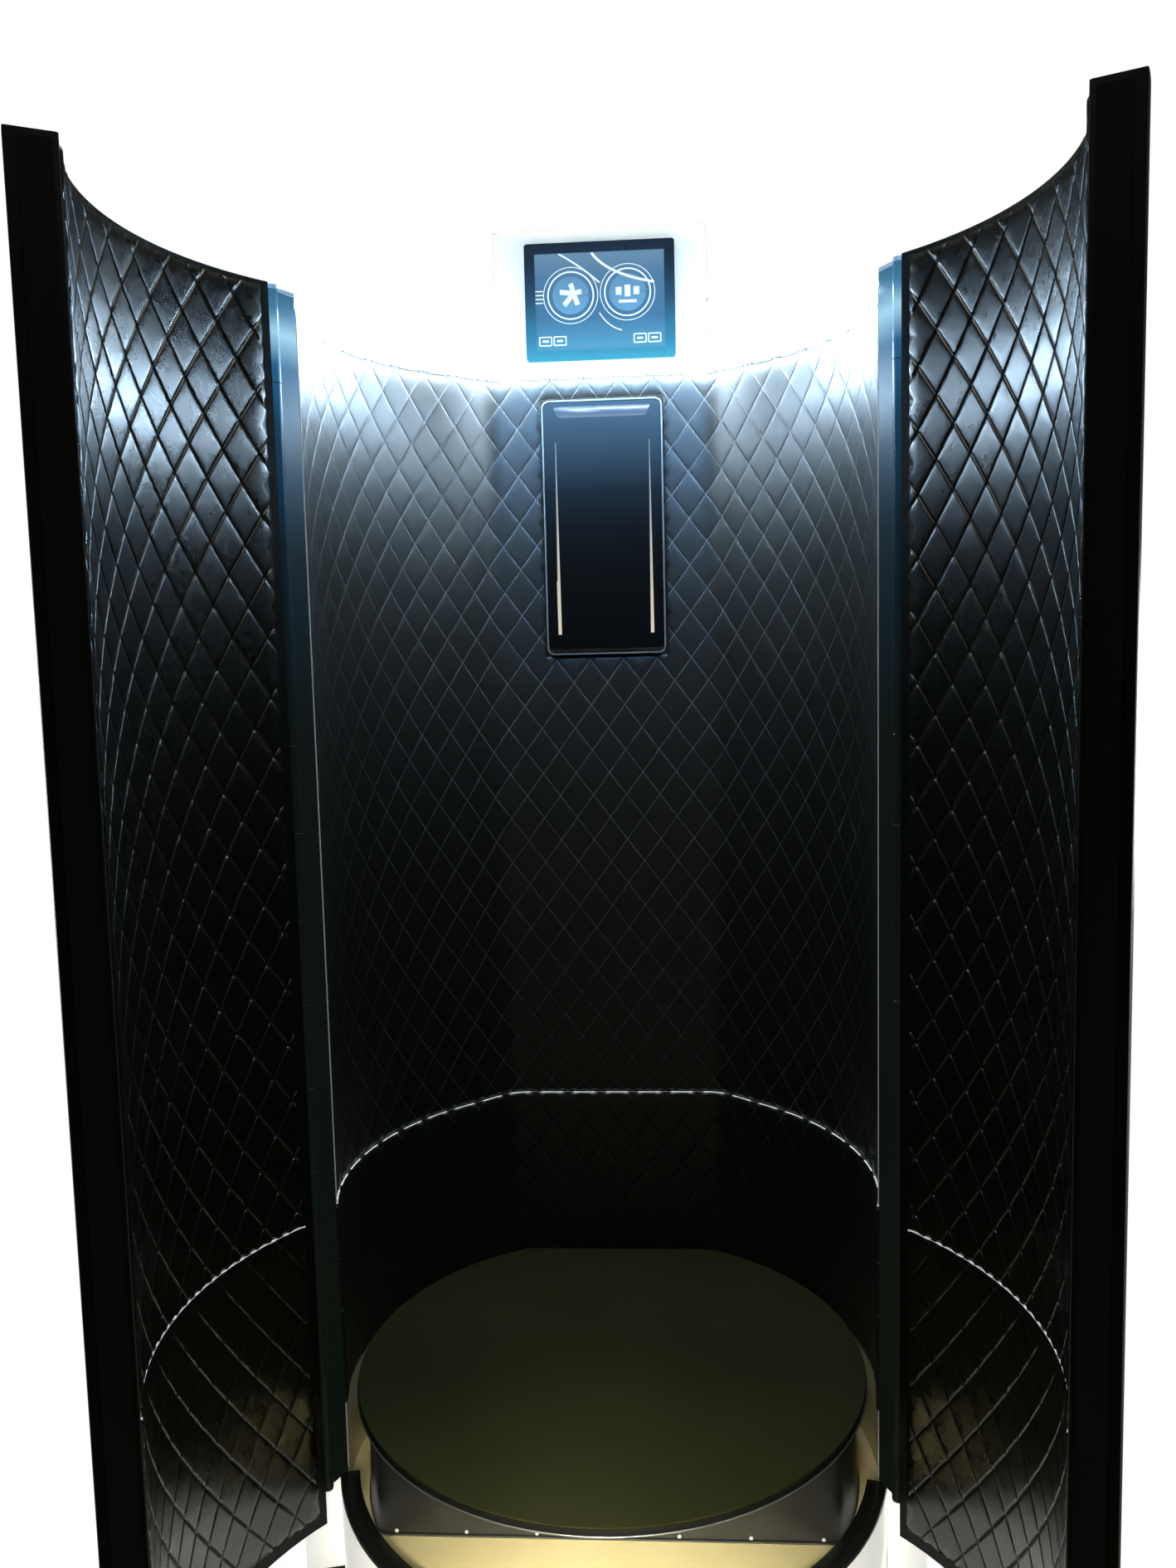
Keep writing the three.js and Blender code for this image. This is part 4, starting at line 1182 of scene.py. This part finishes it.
@dataclass
class Platform:
    """The platform board with its mat and bright edge, and the skirt with its snap studs."""

    radius: float = 0.354
    mat: float = 3.0 * MM
    trim: float = 1.2 * MM
    trim_height: float = 1.8 * MM
    corner: float = 0.018
    hem: float = 0.014
    studs: int = 7
    back_ease: float = 0.022
    skirt_columns: int = 260
    skirt_rows: int = 22

    def outline(self, inset: float, back_y: float) -> list[tuple[float, float]]:
        """The D-shaped outline, inset all round, with its back corners eased."""
        r, ease = self.radius - inset, self.back_ease
        flat = back_y - inset
        corner_y = flat - ease
        corner_x = math.sqrt((r - ease) ** 2 - corner_y ** 2)
        leave = math.atan2(corner_y, corner_x)
        right = [(r * math.cos(a), r * math.sin(a)) for a in np.linspace(-math.pi / 2, leave, 72)]
        right += [(corner_x + ease * math.cos(a), corner_y + ease * math.sin(a))
                  for a in np.linspace(leave, math.pi / 2, 10)[1:]]
        left = [(-x, y) for x, y in reversed(right)]
        return right + left[:-1]

    def build(self) -> None:
        """Makes the board, the mat, the trim and the skirt."""
        low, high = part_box("platform_board")
        board = outline_prism(self.outline(self.trim, high.y), low.z, high.z - self.mat, 0.4 * MM)
        add_piece("platform_core", board, BLACK_SHEET, "platform", ["platform_board"])
        mat = outline_prism(self.outline(self.trim + 1.0 * MM, high.y), high.z - self.mat + 0.05 * MM,
                            high.z, 0.8 * MM)
        add_piece("platform_top_mat", mat, MAT, "platform")
        edge = bmesh.new()
        ring = [edge.verts.new((x, y, low.z + 0.6 * MM)) for x, y in self.outline(0.0, high.y)]
        loop = [edge.edges.new(pair) for pair in zip(ring, ring[1:] + ring[:1])]
        grown = bmesh.ops.extrude_edge_only(edge, edges=loop)
        tops = [v for v in grown["geom"] if isinstance(v, bmesh.types.BMVert)]
        bmesh.ops.translate(edge, vec=(0, 0, self.trim_height), verts=tops)
        bmesh.ops.recalc_face_normals(edge, faces=edge.faces)
        trim = add_piece("platform_edge_trim", edge, CHROME, "platform")
        add_modifier(trim, "SOLIDIFY", thickness=self.trim * 0.8, offset=-1.0)
        self.skirt()

    def skirt(self) -> None:
        """Leatherette skirt, not attached to any body here; its hem bead and snap studs ride on the cabin with the
        floor pan.
        """
        low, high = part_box("skirt")
        line = SkirtLine(high.x, low.y, self.corner)
        back = math.asin(high.y / high.x)
        half = line.a2 + line.radius * (back - line.leave)
        height = high.z - low.z
        bm = bmesh.new()
        bmesh.ops.create_grid(bm, x_segments=self.skirt_columns, y_segments=self.skirt_rows, size=1.0)
        for v in bm.verts:
            s, t = v.co.x * half, (v.co.y + 1) / 2
            slack = 1.1 * MM * math.sin(s * 31.0) + 0.7 * MM * math.sin(s * 83.0 + 1.0)
            flare = 3.0 * MM * (1 - t) ** 2
            out = -2.5 * MM + flare - 2.0 * MM + slack * math.sin(math.pi * t) * 0.8
            v.co = (s, out, low.z + t * height)
        bmesh.ops.recalc_face_normals(bm, faces=bm.faces)
        flat_area = (2 * half, height)
        line.bend(bm)
        piece = add_piece("skirt_cloth", bm, PLAIN_LEATHER, "", ["skirt"])
        add_modifier(piece, "SOLIDIFY", thickness=1.2 * MM, offset=0.0)
        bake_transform(piece)
        bead("skirt_hem", level_path(line, (-half, half), -0.8 * MM, low.z + 1.7 * MM), 1.6 * MM,
             PLAIN_LEATHER, "cabin")
        self.snap_studs(line, low.z + 0.5 * self.hem)

    def snap_studs(self, line: SkirtLine, z: float) -> None:
        """White snap studs along the hem of the straight front."""
        parts = []
        for i in range(self.studs):
            s = (i / (self.studs - 1) - 0.5) * 2 * (line.a1 - 0.012)
            point, normal = line.spot(np.array([s]))
            x, y = (point - normal * 0.6 * MM)[0]
            stud = spun([(0, 1.6 * MM), (1.7 * MM, 1.4 * MM), (2.4 * MM, 0.7 * MM), (2.6 * MM, -0.5 * MM),
                         (0, -0.5 * MM)], 20)
            bmesh.ops.rotate(stud, matrix=Matrix.Rotation(math.pi / 2, 3, "X"), verts=stud.verts)
            bmesh.ops.translate(stud, vec=(x, y, z), verts=stud.verts)
            parts.append(stud)
        add_piece("skirt_snap_studs", join(parts), STUD, "cabin")


@dataclass
class Panel:
    """The service panel: rounded bright surround, gloss flap with its recess, and two slim bars that glow with
    painted highlights.
    """

    corner: float = 0.012
    edge: float = 2.2 * MM

    def rounded(self, half_x: float, low_z: float, high_z: float,
                corner: float) -> list[tuple[float, float]]:
        """A rectangle with round corners, as X and Z points in order."""
        points = []
        right, left, foot, head = half_x - corner, -half_x + corner, low_z + corner, high_z - corner
        for cx, cz, start in ((right, head, 0), (left, head, 90), (left, foot, 180), (right, foot, 270)):
            for a in np.linspace(start, start + 90, 9):
                points.append((cx + corner * math.cos(math.radians(a)),
                               cz + corner * math.sin(math.radians(a))))
        return points

    @staticmethod
    def upright(bm: bmesh.types.BMesh) -> bmesh.types.BMesh:
        """Stands a shape drawn in X and Y up, so its Y becomes height and its height depth."""
        turn = Matrix(((1, 0, 0), (0, 0, 1), (0, 1, 0)))
        bmesh.ops.transform(bm, matrix=turn.to_4x4(), verts=bm.verts)
        bmesh.ops.reverse_faces(bm, faces=bm.faces)
        return bm

    def build(self) -> None:
        """Makes the surround, the flap, the recess and the bars."""
        low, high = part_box("panel_surround")
        half = high.x
        outer = self.rounded(half, low.z, high.z, self.corner)
        inner = self.rounded(half - self.edge, low.z + self.edge, high.z - self.edge,
                             self.corner - self.edge)
        ring = bmesh.new()
        loops = []
        for points, y in ((outer, high.y - 6 * MM), (outer, low.y + 1.2 * MM), (outer, low.y),
                          (inner, low.y), (inner, high.y - 6 * MM)):
            verts = [ring.verts.new((x, y, z)) for x, z in points]
            loops.append([ring.edges.new(pair) for pair in zip(verts, verts[1:] + verts[:1])])
        for first, second in zip(loops, loops[1:] + loops[:1]):
            bmesh.ops.bridge_loops(ring, edges=first + second)
        bmesh.ops.recalc_face_normals(ring, faces=ring.faces)
        add_piece("panel_bright_surround", ring, CHROME, "cabin", ["panel_surround"])
        self.flap(half - self.edge - 0.5 * MM)

    def flap(self, half: float) -> None:
        """The gloss flap, dished for the fingers along its top edge, with its two slim bars."""
        _, surround_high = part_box("panel_surround")
        low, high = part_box("panel_flap")
        low_z, high_z = low.z, surround_high.z - self.edge - 0.5 * MM
        face = outline_prism(self.rounded(half, low_z, high_z, self.corner - self.edge - 0.5 * MM),
                             low.y, high.y, 0.9 * MM, 3)
        add_piece("panel_gloss_flap", self.upright(face), GLOSS_PAINTED_REFLECTION, "panel_flap",
                  ["panel_flap"])
        top, drop = high_z - 7 * MM, 17 * MM
        lip = bmesh.new()
        wide, narrow = half - 15 * MM, half - 23 * MM
        corners = [(-wide, top), (-narrow, top - drop), (narrow, top - drop), (wide, top)]
        lip.faces.new([lip.verts.new((x, low.y - 0.4 * MM, z)) for x, z in corners])
        bmesh.ops.bevel(lip, geom=[v for v in lip.verts], offset=5 * MM, affect="VERTICES", segments=5,
                        profile=0.5, material=-1)
        lip.faces.ensure_lookup_table()
        dish = lip.faces[0]
        bmesh.ops.inset_region(lip, faces=[dish], thickness=2.5 * MM, depth=0.0)
        bmesh.ops.translate(lip, vec=(0, 0.35 * MM, 0), verts=dish.verts)
        bmesh.ops.recalc_face_normals(lip, faces=lip.faces)
        if dish.normal.y > 0:
            bmesh.ops.reverse_faces(lip, faces=lip.faces)
        piece = add_piece("panel_finger_recess", lip, RECESS_PAINTED_SHADE_AND_HIGHLIGHT, "panel_flap")
        add_modifier(piece, "SOLIDIFY", thickness=0.35 * MM, offset=-1.0)
        for node, side in (("panel_light_bar_left", -1), ("panel_light_bar_right", 1)):
            self.bar(node, side)

    def bar(self, node: str, side: int) -> None:
        """A slim bar, narrow at its top and wide at its foot."""
        low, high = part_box(node)
        x = (low.x + high.x) / 2
        top, foot = 0.6 * MM, 2.7 * MM
        points = [(x - foot, low.z), (x + foot, low.z), (x + top, high.z), (x - top, high.z)]
        if side < 0:
            notch = low.z + 0.085
            points = points[:3] + [(x - top, high.z), (x - foot + 0.6 * MM, notch),
                                   (x - foot - 0.5 * MM, notch - 1.0 * MM)]
        bm = outline_prism(points, low.y - 0.2 * MM, low.y + 3 * MM, 0.4 * MM, 1)
        add_piece(f"{node}_tapered", self.upright(bm), BAR_PAINTED_HIGHLIGHT, "panel_flap", [node])


@dataclass
class Tower:
    """The machine tower: sheet housing, rear cover screws, screen and its graphics."""

    sheet: float = 3 * MM
    round_by: float = 3 * MM
    neck_depth: float = 0.269

    def housing(self) -> None:
        """The housing with its overhanging head, open at the rear and at the screen."""
        low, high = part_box("tower_housing")
        head_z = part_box("rim_cap")[1].z + 0.3 * MM
        neck_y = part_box("tower_rear_cover")[0].y - self.neck_depth
        outline = [(neck_y, low.z), (high.y, low.z), (high.y, high.z), (low.y, high.z), (low.y, head_z),
                   (neck_y, head_z)]
        bm = bmesh.new()
        face = bm.faces.new([bm.verts.new((low.x, y, z)) for y, z in outline])
        grown = bmesh.ops.extrude_face_region(bm, geom=[face])
        far = [v for v in grown["geom"] if isinstance(v, bmesh.types.BMVert)]
        bmesh.ops.translate(bm, vec=(high.x - low.x, 0, 0), verts=far)
        bmesh.ops.recalc_face_normals(bm, faces=bm.faces)
        rear = [f for f in bm.faces if f.normal.y > 0.9]
        bmesh.ops.delete(bm, geom=rear, context="FACES_ONLY")
        rims = [e for e in bm.edges if not e.is_boundary]
        bmesh.ops.bevel(bm, geom=rims, offset=self.round_by, affect="EDGES", segments=4, profile=0.5,
                        material=-1)
        self.screen_window(bm, low.y)
        bmesh.ops.recalc_face_normals(bm, faces=bm.faces)
        piece = add_piece("tower_casing", bm, TOWER, "cabin", ["tower_housing"])
        add_modifier(piece, "SOLIDIFY", thickness=self.sheet, offset=-1.0)

    @staticmethod
    def screen_window(bm: bmesh.types.BMesh, front_y: float) -> None:
        """Opens the front of the head behind the bezel."""
        low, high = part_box("screen_bezel")
        inset = 12 * MM
        front = [f for f in bm.faces if f.normal.y < -0.99 and abs(f.calc_center_median().y - front_y) < MM]
        for point, normal in (((low.x + inset, 0, 0), (1, 0, 0)), ((high.x - inset, 0, 0), (1, 0, 0)),
                              ((0, 0, low.z + inset), (0, 0, 1)), ((0, 0, high.z - inset), (0, 0, 1))):
            parts = {e for f in front for e in f.edges} | {v for f in front for v in f.verts} | set(front)
            bmesh.ops.bisect_plane(bm, geom=list(parts), plane_co=point, plane_no=normal, dist=1e-6)
            front = [f for f in bm.faces if f.normal.y < -0.99
                     and abs(f.calc_center_median().y - front_y) < MM]
        centre = (low + high) / 2
        hole = [f for f in front if abs(f.calc_center_median().x - centre.x) < (high.x - low.x) / 2 - inset
                and abs(f.calc_center_median().z - centre.z) < (high.z - low.z) / 2 - inset]
        bmesh.ops.delete(bm, geom=hole, context="FACES_ONLY")

    def bezel(self) -> None:
        """The bezel as a rounded frame that stands a little proud of the tower."""
        low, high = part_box("screen_bezel")
        glass_low, glass_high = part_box("screen_glass")
        panel = Panel()
        mid = (low.z + high.z) / 2
        outer = panel.rounded(high.x, low.z, high.z, 5 * MM)
        inner = panel.rounded(glass_high.x, glass_low.z, glass_high.z, 1.5 * MM)
        ring = bmesh.new()
        loops = []
        for points, y in ((outer, high.y), (outer, low.y + 1.0 * MM),
                          ([(x * 0.993, mid + (z - mid) * 0.99) for x, z in outer], low.y),
                          (inner, low.y + 0.6 * MM), (inner, high.y)):
            verts = [ring.verts.new((x, y, z)) for x, z in points]
            loops.append([ring.edges.new(pair) for pair in zip(verts, verts[1:] + verts[:1])])
        for first, second in zip(loops, loops[1:] + loops[:1]):
            bmesh.ops.bridge_loops(ring, edges=first + second)
        bmesh.ops.recalc_face_normals(ring, faces=ring.faces)
        add_piece("screen_bezel_rounded", ring, BEZEL_PAINTED_REFLECTION, "cabin", ["screen_bezel"])

    def build(self) -> None:
        """Makes the housing, the bezel and what the screen shows."""
        self.housing()
        self.bezel()
        self.graphics()
        self.cover_screws()
        self.head_screws()

    @staticmethod
    def head_screws() -> None:
        """A dark screw on each side of the head, half way up."""
        low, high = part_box("tower_housing")
        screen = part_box("screen_bezel")
        parts = []
        for x, side in ((low.x, -1), (high.x, 1)):
            head = spun([(0, 1.4 * MM), (2.2 * MM, 1.1 * MM), (3.0 * MM, 0), (3.0 * MM, -0.5 * MM),
                         (0, -0.5 * MM)], 20)
            bmesh.ops.rotate(head, matrix=Matrix.Rotation(side * math.pi / 2, 3, "Y"), verts=head.verts)
            z = (screen[0].z + screen[1].z) / 2
            bmesh.ops.translate(head, vec=(x, low.y + 0.012, z), verts=head.verts)
            parts.append(head)
        add_piece("head_side_screws", join(parts), FRAME_COAT, "cabin")

    @staticmethod
    def stroke(path: Sequence[tuple[float, float]], width: float, y: float) -> bmesh.types.BMesh:
        """A flat ribbon of one width along X and Z points."""
        bm = bmesh.new()
        pts = np.array(path)
        tangent = np.gradient(pts, axis=0)
        tangent /= np.linalg.norm(tangent, axis=1)[:, None] + 1e-12
        normal = np.stack([-tangent[:, 1], tangent[:, 0]], 1) * width / 2
        left = [bm.verts.new((x, y, z)) for x, z in pts + normal]
        right = [bm.verts.new((x, y, z)) for x, z in pts - normal]
        for i in range(len(pts) - 1):
            bm.faces.new((left[i], left[i + 1], right[i + 1], right[i]))
        bmesh.ops.recalc_face_normals(bm, faces=bm.faces)
        if bm.faces[:][0].normal.y > 0:
            bmesh.ops.reverse_faces(bm, faces=bm.faces)
        return bm

    def graphics(self) -> None:
        """Two dials, plain symbols, four keys and sweeping highlights, lit on the glass."""
        low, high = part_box("screen_glass")
        cx, cz = (low.x + high.x) / 2, (low.z + high.z) / 2
        y = low.y - 0.25 * MM

        def ring(x: float, z: float, r: float, width: float) -> bmesh.types.BMesh:
            """A ring of one width."""
            path = [(cx + x + r * math.cos(a), cz + z + r * math.sin(a))
                    for a in np.linspace(0, math.tau, 49)]
            return self.stroke(path, width, y)

        def bar(x: float, z: float, w: float, h: float) -> bmesh.types.BMesh:
            """A filled block."""
            path = [(cx + x - w / 2, cz + z), (cx + x + w / 2, cz + z)]
            return self.stroke(path, h, y)

        def curve(points: Sequence[tuple[float, float]], width: float) -> bmesh.types.BMesh:
            """A smooth sweep through three points."""
            p0, p1, p2 = (np.array(p) for p in points)
            path = [tuple((1 - t) ** 2 * p0 + 2 * t * (1 - t) * p1 + t * t * p2 + np.array([cx, cz]))
                    for t in np.linspace(0, 1, 25)]
            return self.stroke(path, width, y)

        dials = ((-0.046, 0.010), (0.044, 0.012))
        bright = []
        for x, z in dials:
            bright += [ring(x, z, 0.036, 2.4 * MM), ring(x, z, 0.043, 1.2 * MM)]
        for k in range(5):
            a = math.radians(90 + k * 72)
            tip = (dials[0][0] + 0.018 * math.cos(a), dials[0][1] + 0.018 * math.sin(a))
            bright.append(curve((dials[0], (dials[0][0] + 0.006, dials[0][1] + 0.004), tip), 7.5 * MM))
        for k in range(3):
            tall = (12 + 6 * (k % 2)) * MM
            bright.append(bar(dials[1][0] + (k - 1) * 0.014, dials[1][1] + 0.002, 9 * MM, tall))
        bright.append(bar(dials[1][0], dials[1][1] - 0.014, 0.028, 4.5 * MM))
        for x in (-0.076, 0.074):
            for k in (-1, 1):
                bright += self.keys(cx + x + k * 0.0115, cz - 0.059, y)
        bright += [curve(((-0.064, 0.074), (-0.03, 0.055), (0.0, 0.028)), 2.6 * MM),
                   curve(((-0.012, 0.074), (0.012, 0.040), (0.086, 0.026)), 3.8 * MM),
                   curve(((-0.001, -0.018), (0.012, -0.040), (0.034, -0.046)), 1.8 * MM)]
        for k in range(4):
            bright.append(bar(-0.096, 0.018 - 0.006 * k, 0.012, 1.8 * MM))
        add_piece("screen_graphics", join(bright), GRAPHIC, "cabin", smooth=False)
        dim = [ring(x, z, 0.0145, 0.029) for x, z in dials]
        disc = join(dim)
        bmesh.ops.translate(disc, vec=(0, 0.1 * MM, 0), verts=disc.verts)
        add_piece("screen_dial_faces", disc, GRAPHIC_DIM, "cabin", smooth=False)

    def keys(self, x: float, z: float, y: float) -> list[bmesh.types.BMesh]:
        """One key: a small frame with a short bar in it."""
        w, h = 9.5 * MM, 6.5 * MM
        path = [(x - w, z - h), (x + w, z - h), (x + w, z + h), (x - w, z + h), (x - w, z - h)]
        sides = []
        for a, b in zip(path, path[1:]):
            sides.append(self.stroke([a, b], 1.8 * MM, y))
        sides.append(self.stroke([(x - w * 0.5, z), (x + w * 0.5, z)], h * 0.5, y))
        return sides

    @staticmethod
    def cover_screws() -> None:
        """Dome screws up both sides of the rear cover."""
        low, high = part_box("tower_rear_cover")
        parts = []
        for x in (low.x + 0.012, high.x - 0.012):
            for z in np.linspace(low.z + 0.03, high.z - 0.03, 7):
                head = spun([(0, 2.0 * MM), (1.6 * MM, 1.8 * MM), (3.2 * MM, 0.8 * MM), (3.6 * MM, 0),
                             (3.6 * MM, -0.4 * MM), (0, -0.4 * MM)], 20)
                bmesh.ops.rotate(head, matrix=Matrix.Rotation(-math.pi / 2, 3, "X"), verts=head.verts)
                bmesh.ops.translate(head, vec=(x, high.y - 1.8 * MM, z), verts=head.verts)
                parts.append(head)
        add_piece("rear_cover_screws", join(parts), STEEL, "cabin")


# ------------------------------------------------------------------ studio


@dataclass
class Studio:
    """Camera, lights, backdrop and floor."""

    lens: float = 28.59
    sensor: float = 36.0
    eye: tuple[float, float, float] = (0.0966, -1.6665, 1.2808)
    yaw: float = 3.767
    pitch: float = -5.798
    roll: float = -1.381
    rim_lights: int = 18
    rim_power: float = 0.25

    def camera(self) -> None:
        """The camera, level with a standing person's chest, close in front of the doorway."""
        yaw = Matrix.Rotation(math.radians(self.yaw), 3, "Z")
        turn = yaw @ Matrix.Rotation(math.radians(self.pitch), 3, "X")
        right, ahead, up = turn.col[0], turn.col[1], turn.col[2]
        c, s = math.cos(math.radians(self.roll)), math.sin(math.radians(self.roll))
        across, upward = c * right + s * up, c * up - s * right
        data = bpy.data.cameras.new("camera")
        data.lens = self.lens
        data.sensor_width = self.sensor
        data.clip_start = 0.05
        camera = bpy.data.objects.new("camera", data)
        facing = Matrix((across, upward, -ahead)).transposed().to_4x4()
        camera.matrix_world = Matrix.Translation(self.eye) @ facing
        bpy.context.scene.collection.objects.link(camera)
        bpy.context.scene.camera = camera

    @staticmethod
    def area(name: str, place: Sequence[float], aim: Sequence[float], size: tuple[float, float],
             power: float, colour: Colour, spread: float = 180.0) -> None:
        """A rectangular light at a place, aimed at a point; spread is its beam in degrees."""
        data = bpy.data.lights.new(name, "AREA")
        data.shape = "RECTANGLE"
        data.size, data.size_y = size
        data.energy = power
        data.color = colour
        data.spread = math.radians(spread)
        light = bpy.data.objects.new(name, data)
        light.visible_camera = False
        light.location = place
        light.rotation_euler = (Vector(aim) - Vector(place)).to_track_quat("-Z", "Y").to_euler()
        bpy.context.scene.collection.objects.link(light)

    def lights(self, line: WallLine) -> None:
        """Cool light under the rim, and soft white light from above, in front, behind and both sides."""
        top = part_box("rim_light")[0].z
        for i, s in enumerate(np.linspace(-line.half + 0.05, line.half - 0.05, self.rim_lights)):
            point, normal = line.spot(np.array([s]))
            x, y = (point - normal * 0.030)[0]
            ax, ay = (point + normal * 0.010)[0]
            self.area(f"rim_light_{i}", (x, y, top + 0.004), (ax, ay, top - 0.20), (0.07, 0.012),
                      self.rim_power, (0.62, 0.82, 1.0))
        self.area("overhead", (0.0, -0.4, 4.2), (0.0, -0.2, 0.0), (1.2, 1.2), 26.0, (1.0, 0.97, 0.84))
        self.area("blue_wash", (0.0, -0.36, 1.95), (0.0, 0.34, 1.60), (0.8, 0.10), 2.0,
                  (0.20, 0.52, 1.0), 68.0)
        self.area("front_low", (0.0, -0.95, 0.62), (0.0, -0.27, 0.10), (0.4, 0.08), 1.7,
                  (1.0, 0.95, 0.76), 42.0)
        for side in (-1, 1):
            self.area(f"rear_{side}", (side * 2.3, 2.6, 1.0), (0.0, 0.45, 1.0), (1.3, 1.0), 55.0,
                      (1.0, 0.99, 0.97))
            self.area(f"side_{side}", (side * 3.0, -0.1, 0.9), (0.0, -0.1, 0.9), (1.2, 0.9), 45.0,
                      (1.0, 0.99, 0.97))
        self.area("front_high", (0.0, -2.0, 4.5), (0.0, 0.4, 2.15), (1.0, 0.5), 5.0,
                  (1.0, 0.98, 0.92), 28.0)

    @staticmethod
    def world() -> None:
        """White backdrop to the eye, and a soft sky that is brighter overhead for everything else."""
        world = bpy.data.worlds.new("studio")
        world.use_nodes = True
        tree = world.node_tree
        tree.nodes.clear()
        out = tree.nodes.new("ShaderNodeOutputWorld")
        seen = tree.nodes.new("ShaderNodeBackground")
        seen.inputs[0].default_value = (1, 1, 1, 1)
        sky = tree.nodes.new("ShaderNodeBackground")
        coords = tree.nodes.new("ShaderNodeTexCoord")
        split = tree.nodes.new("ShaderNodeSeparateXYZ")
        ramp = tree.nodes.new("ShaderNodeValToRGB")
        for element, (place, value) in zip(ramp.color_ramp.elements, ((0.30, 0.012), (1.0, 0.22))):
            element.position = place
            element.color = (value, value, value * 0.92, 1)
        mix = tree.nodes.new("ShaderNodeMixShader")
        path = tree.nodes.new("ShaderNodeLightPath")
        tree.links.new(coords.outputs["Generated"], split.inputs[0])
        tree.links.new(split.outputs[2], ramp.inputs[0])
        tree.links.new(ramp.outputs[0], sky.inputs[0])
        tree.links.new(path.outputs["Is Camera Ray"], mix.inputs[0])
        tree.links.new(sky.outputs[0], mix.inputs[1])
        tree.links.new(seen.outputs[0], mix.inputs[2])
        tree.links.new(mix.outputs[0], out.inputs[0])
        bpy.context.scene.world = world

    @staticmethod
    def floor() -> None:
        """A wide pale floor."""
        bm = bmesh.new()
        bmesh.ops.create_grid(bm, x_segments=1, y_segments=1, size=12.0)
        bmesh.ops.translate(bm, vec=(0, 0, -0.5 * MM), verts=bm.verts)
        mesh = bpy.data.meshes.new("floor")
        bm.to_mesh(mesh)
        bm.free()
        floor = bpy.data.objects.new("floor", mesh)
        bpy.context.scene.collection.objects.link(floor)
        shade = Shade("pale_floor")
        shade.surface.inputs["Base Color"].default_value = (0.14, 0.14, 0.105, 1)
        shade.surface.inputs["Roughness"].default_value = 0.9
        seen = shade.node("ShaderNodeLightPath")
        white = shade.node("ShaderNodeEmission", inputs={"Strength": 1.0})
        mixed = shade.node("ShaderNodeMixShader", inputs={0: seen, 1: shade.surface.outputs[0], 2: white})
        output = next(n for n in shade.tree.nodes if n.type == "OUTPUT_MATERIAL")
        shade.put(output.inputs[0], mixed)
        mesh.materials.append(shade.material)

    def build(self, line: WallLine) -> None:
        """Sets everything up."""
        self.camera()
        self.lights(line)
        self.world()
        self.floor()
        bpy.context.scene.view_settings.view_transform = "Standard"


def dress_frame() -> None:
    """Gives every CAD node that stays in sight its own finish, or else the finish of its slot."""
    slots = {row["node"]: row["material_slot"] for row in frame["record"]["subparts"]}
    for name, node in frame["nodes"].items():
        node.data.materials.clear()
        finish = OWN_FINISH.get(name) or NODE_FINISH[slots[name]]
        node.data.materials.append(finish.build())
        log.info("dressed %s as %s", name, slots[name])


def main() -> None:
    """Builds the booth piece by piece."""
    logging.basicConfig(level=logging.INFO, format="%(name)s: %(message)s")
    dress_frame()
    quilting = Quilting()
    wall = Wall(quilting)
    Studio().build(wall.line)
    wall.build()
    for side, label in ((-1, "left"), (1, "right")):
        Door(side, label, quilting).build()
    Base().build()
    Platform().build()
    Panel().build()
    Tower().build()


if __name__ == "__main__":
    main()
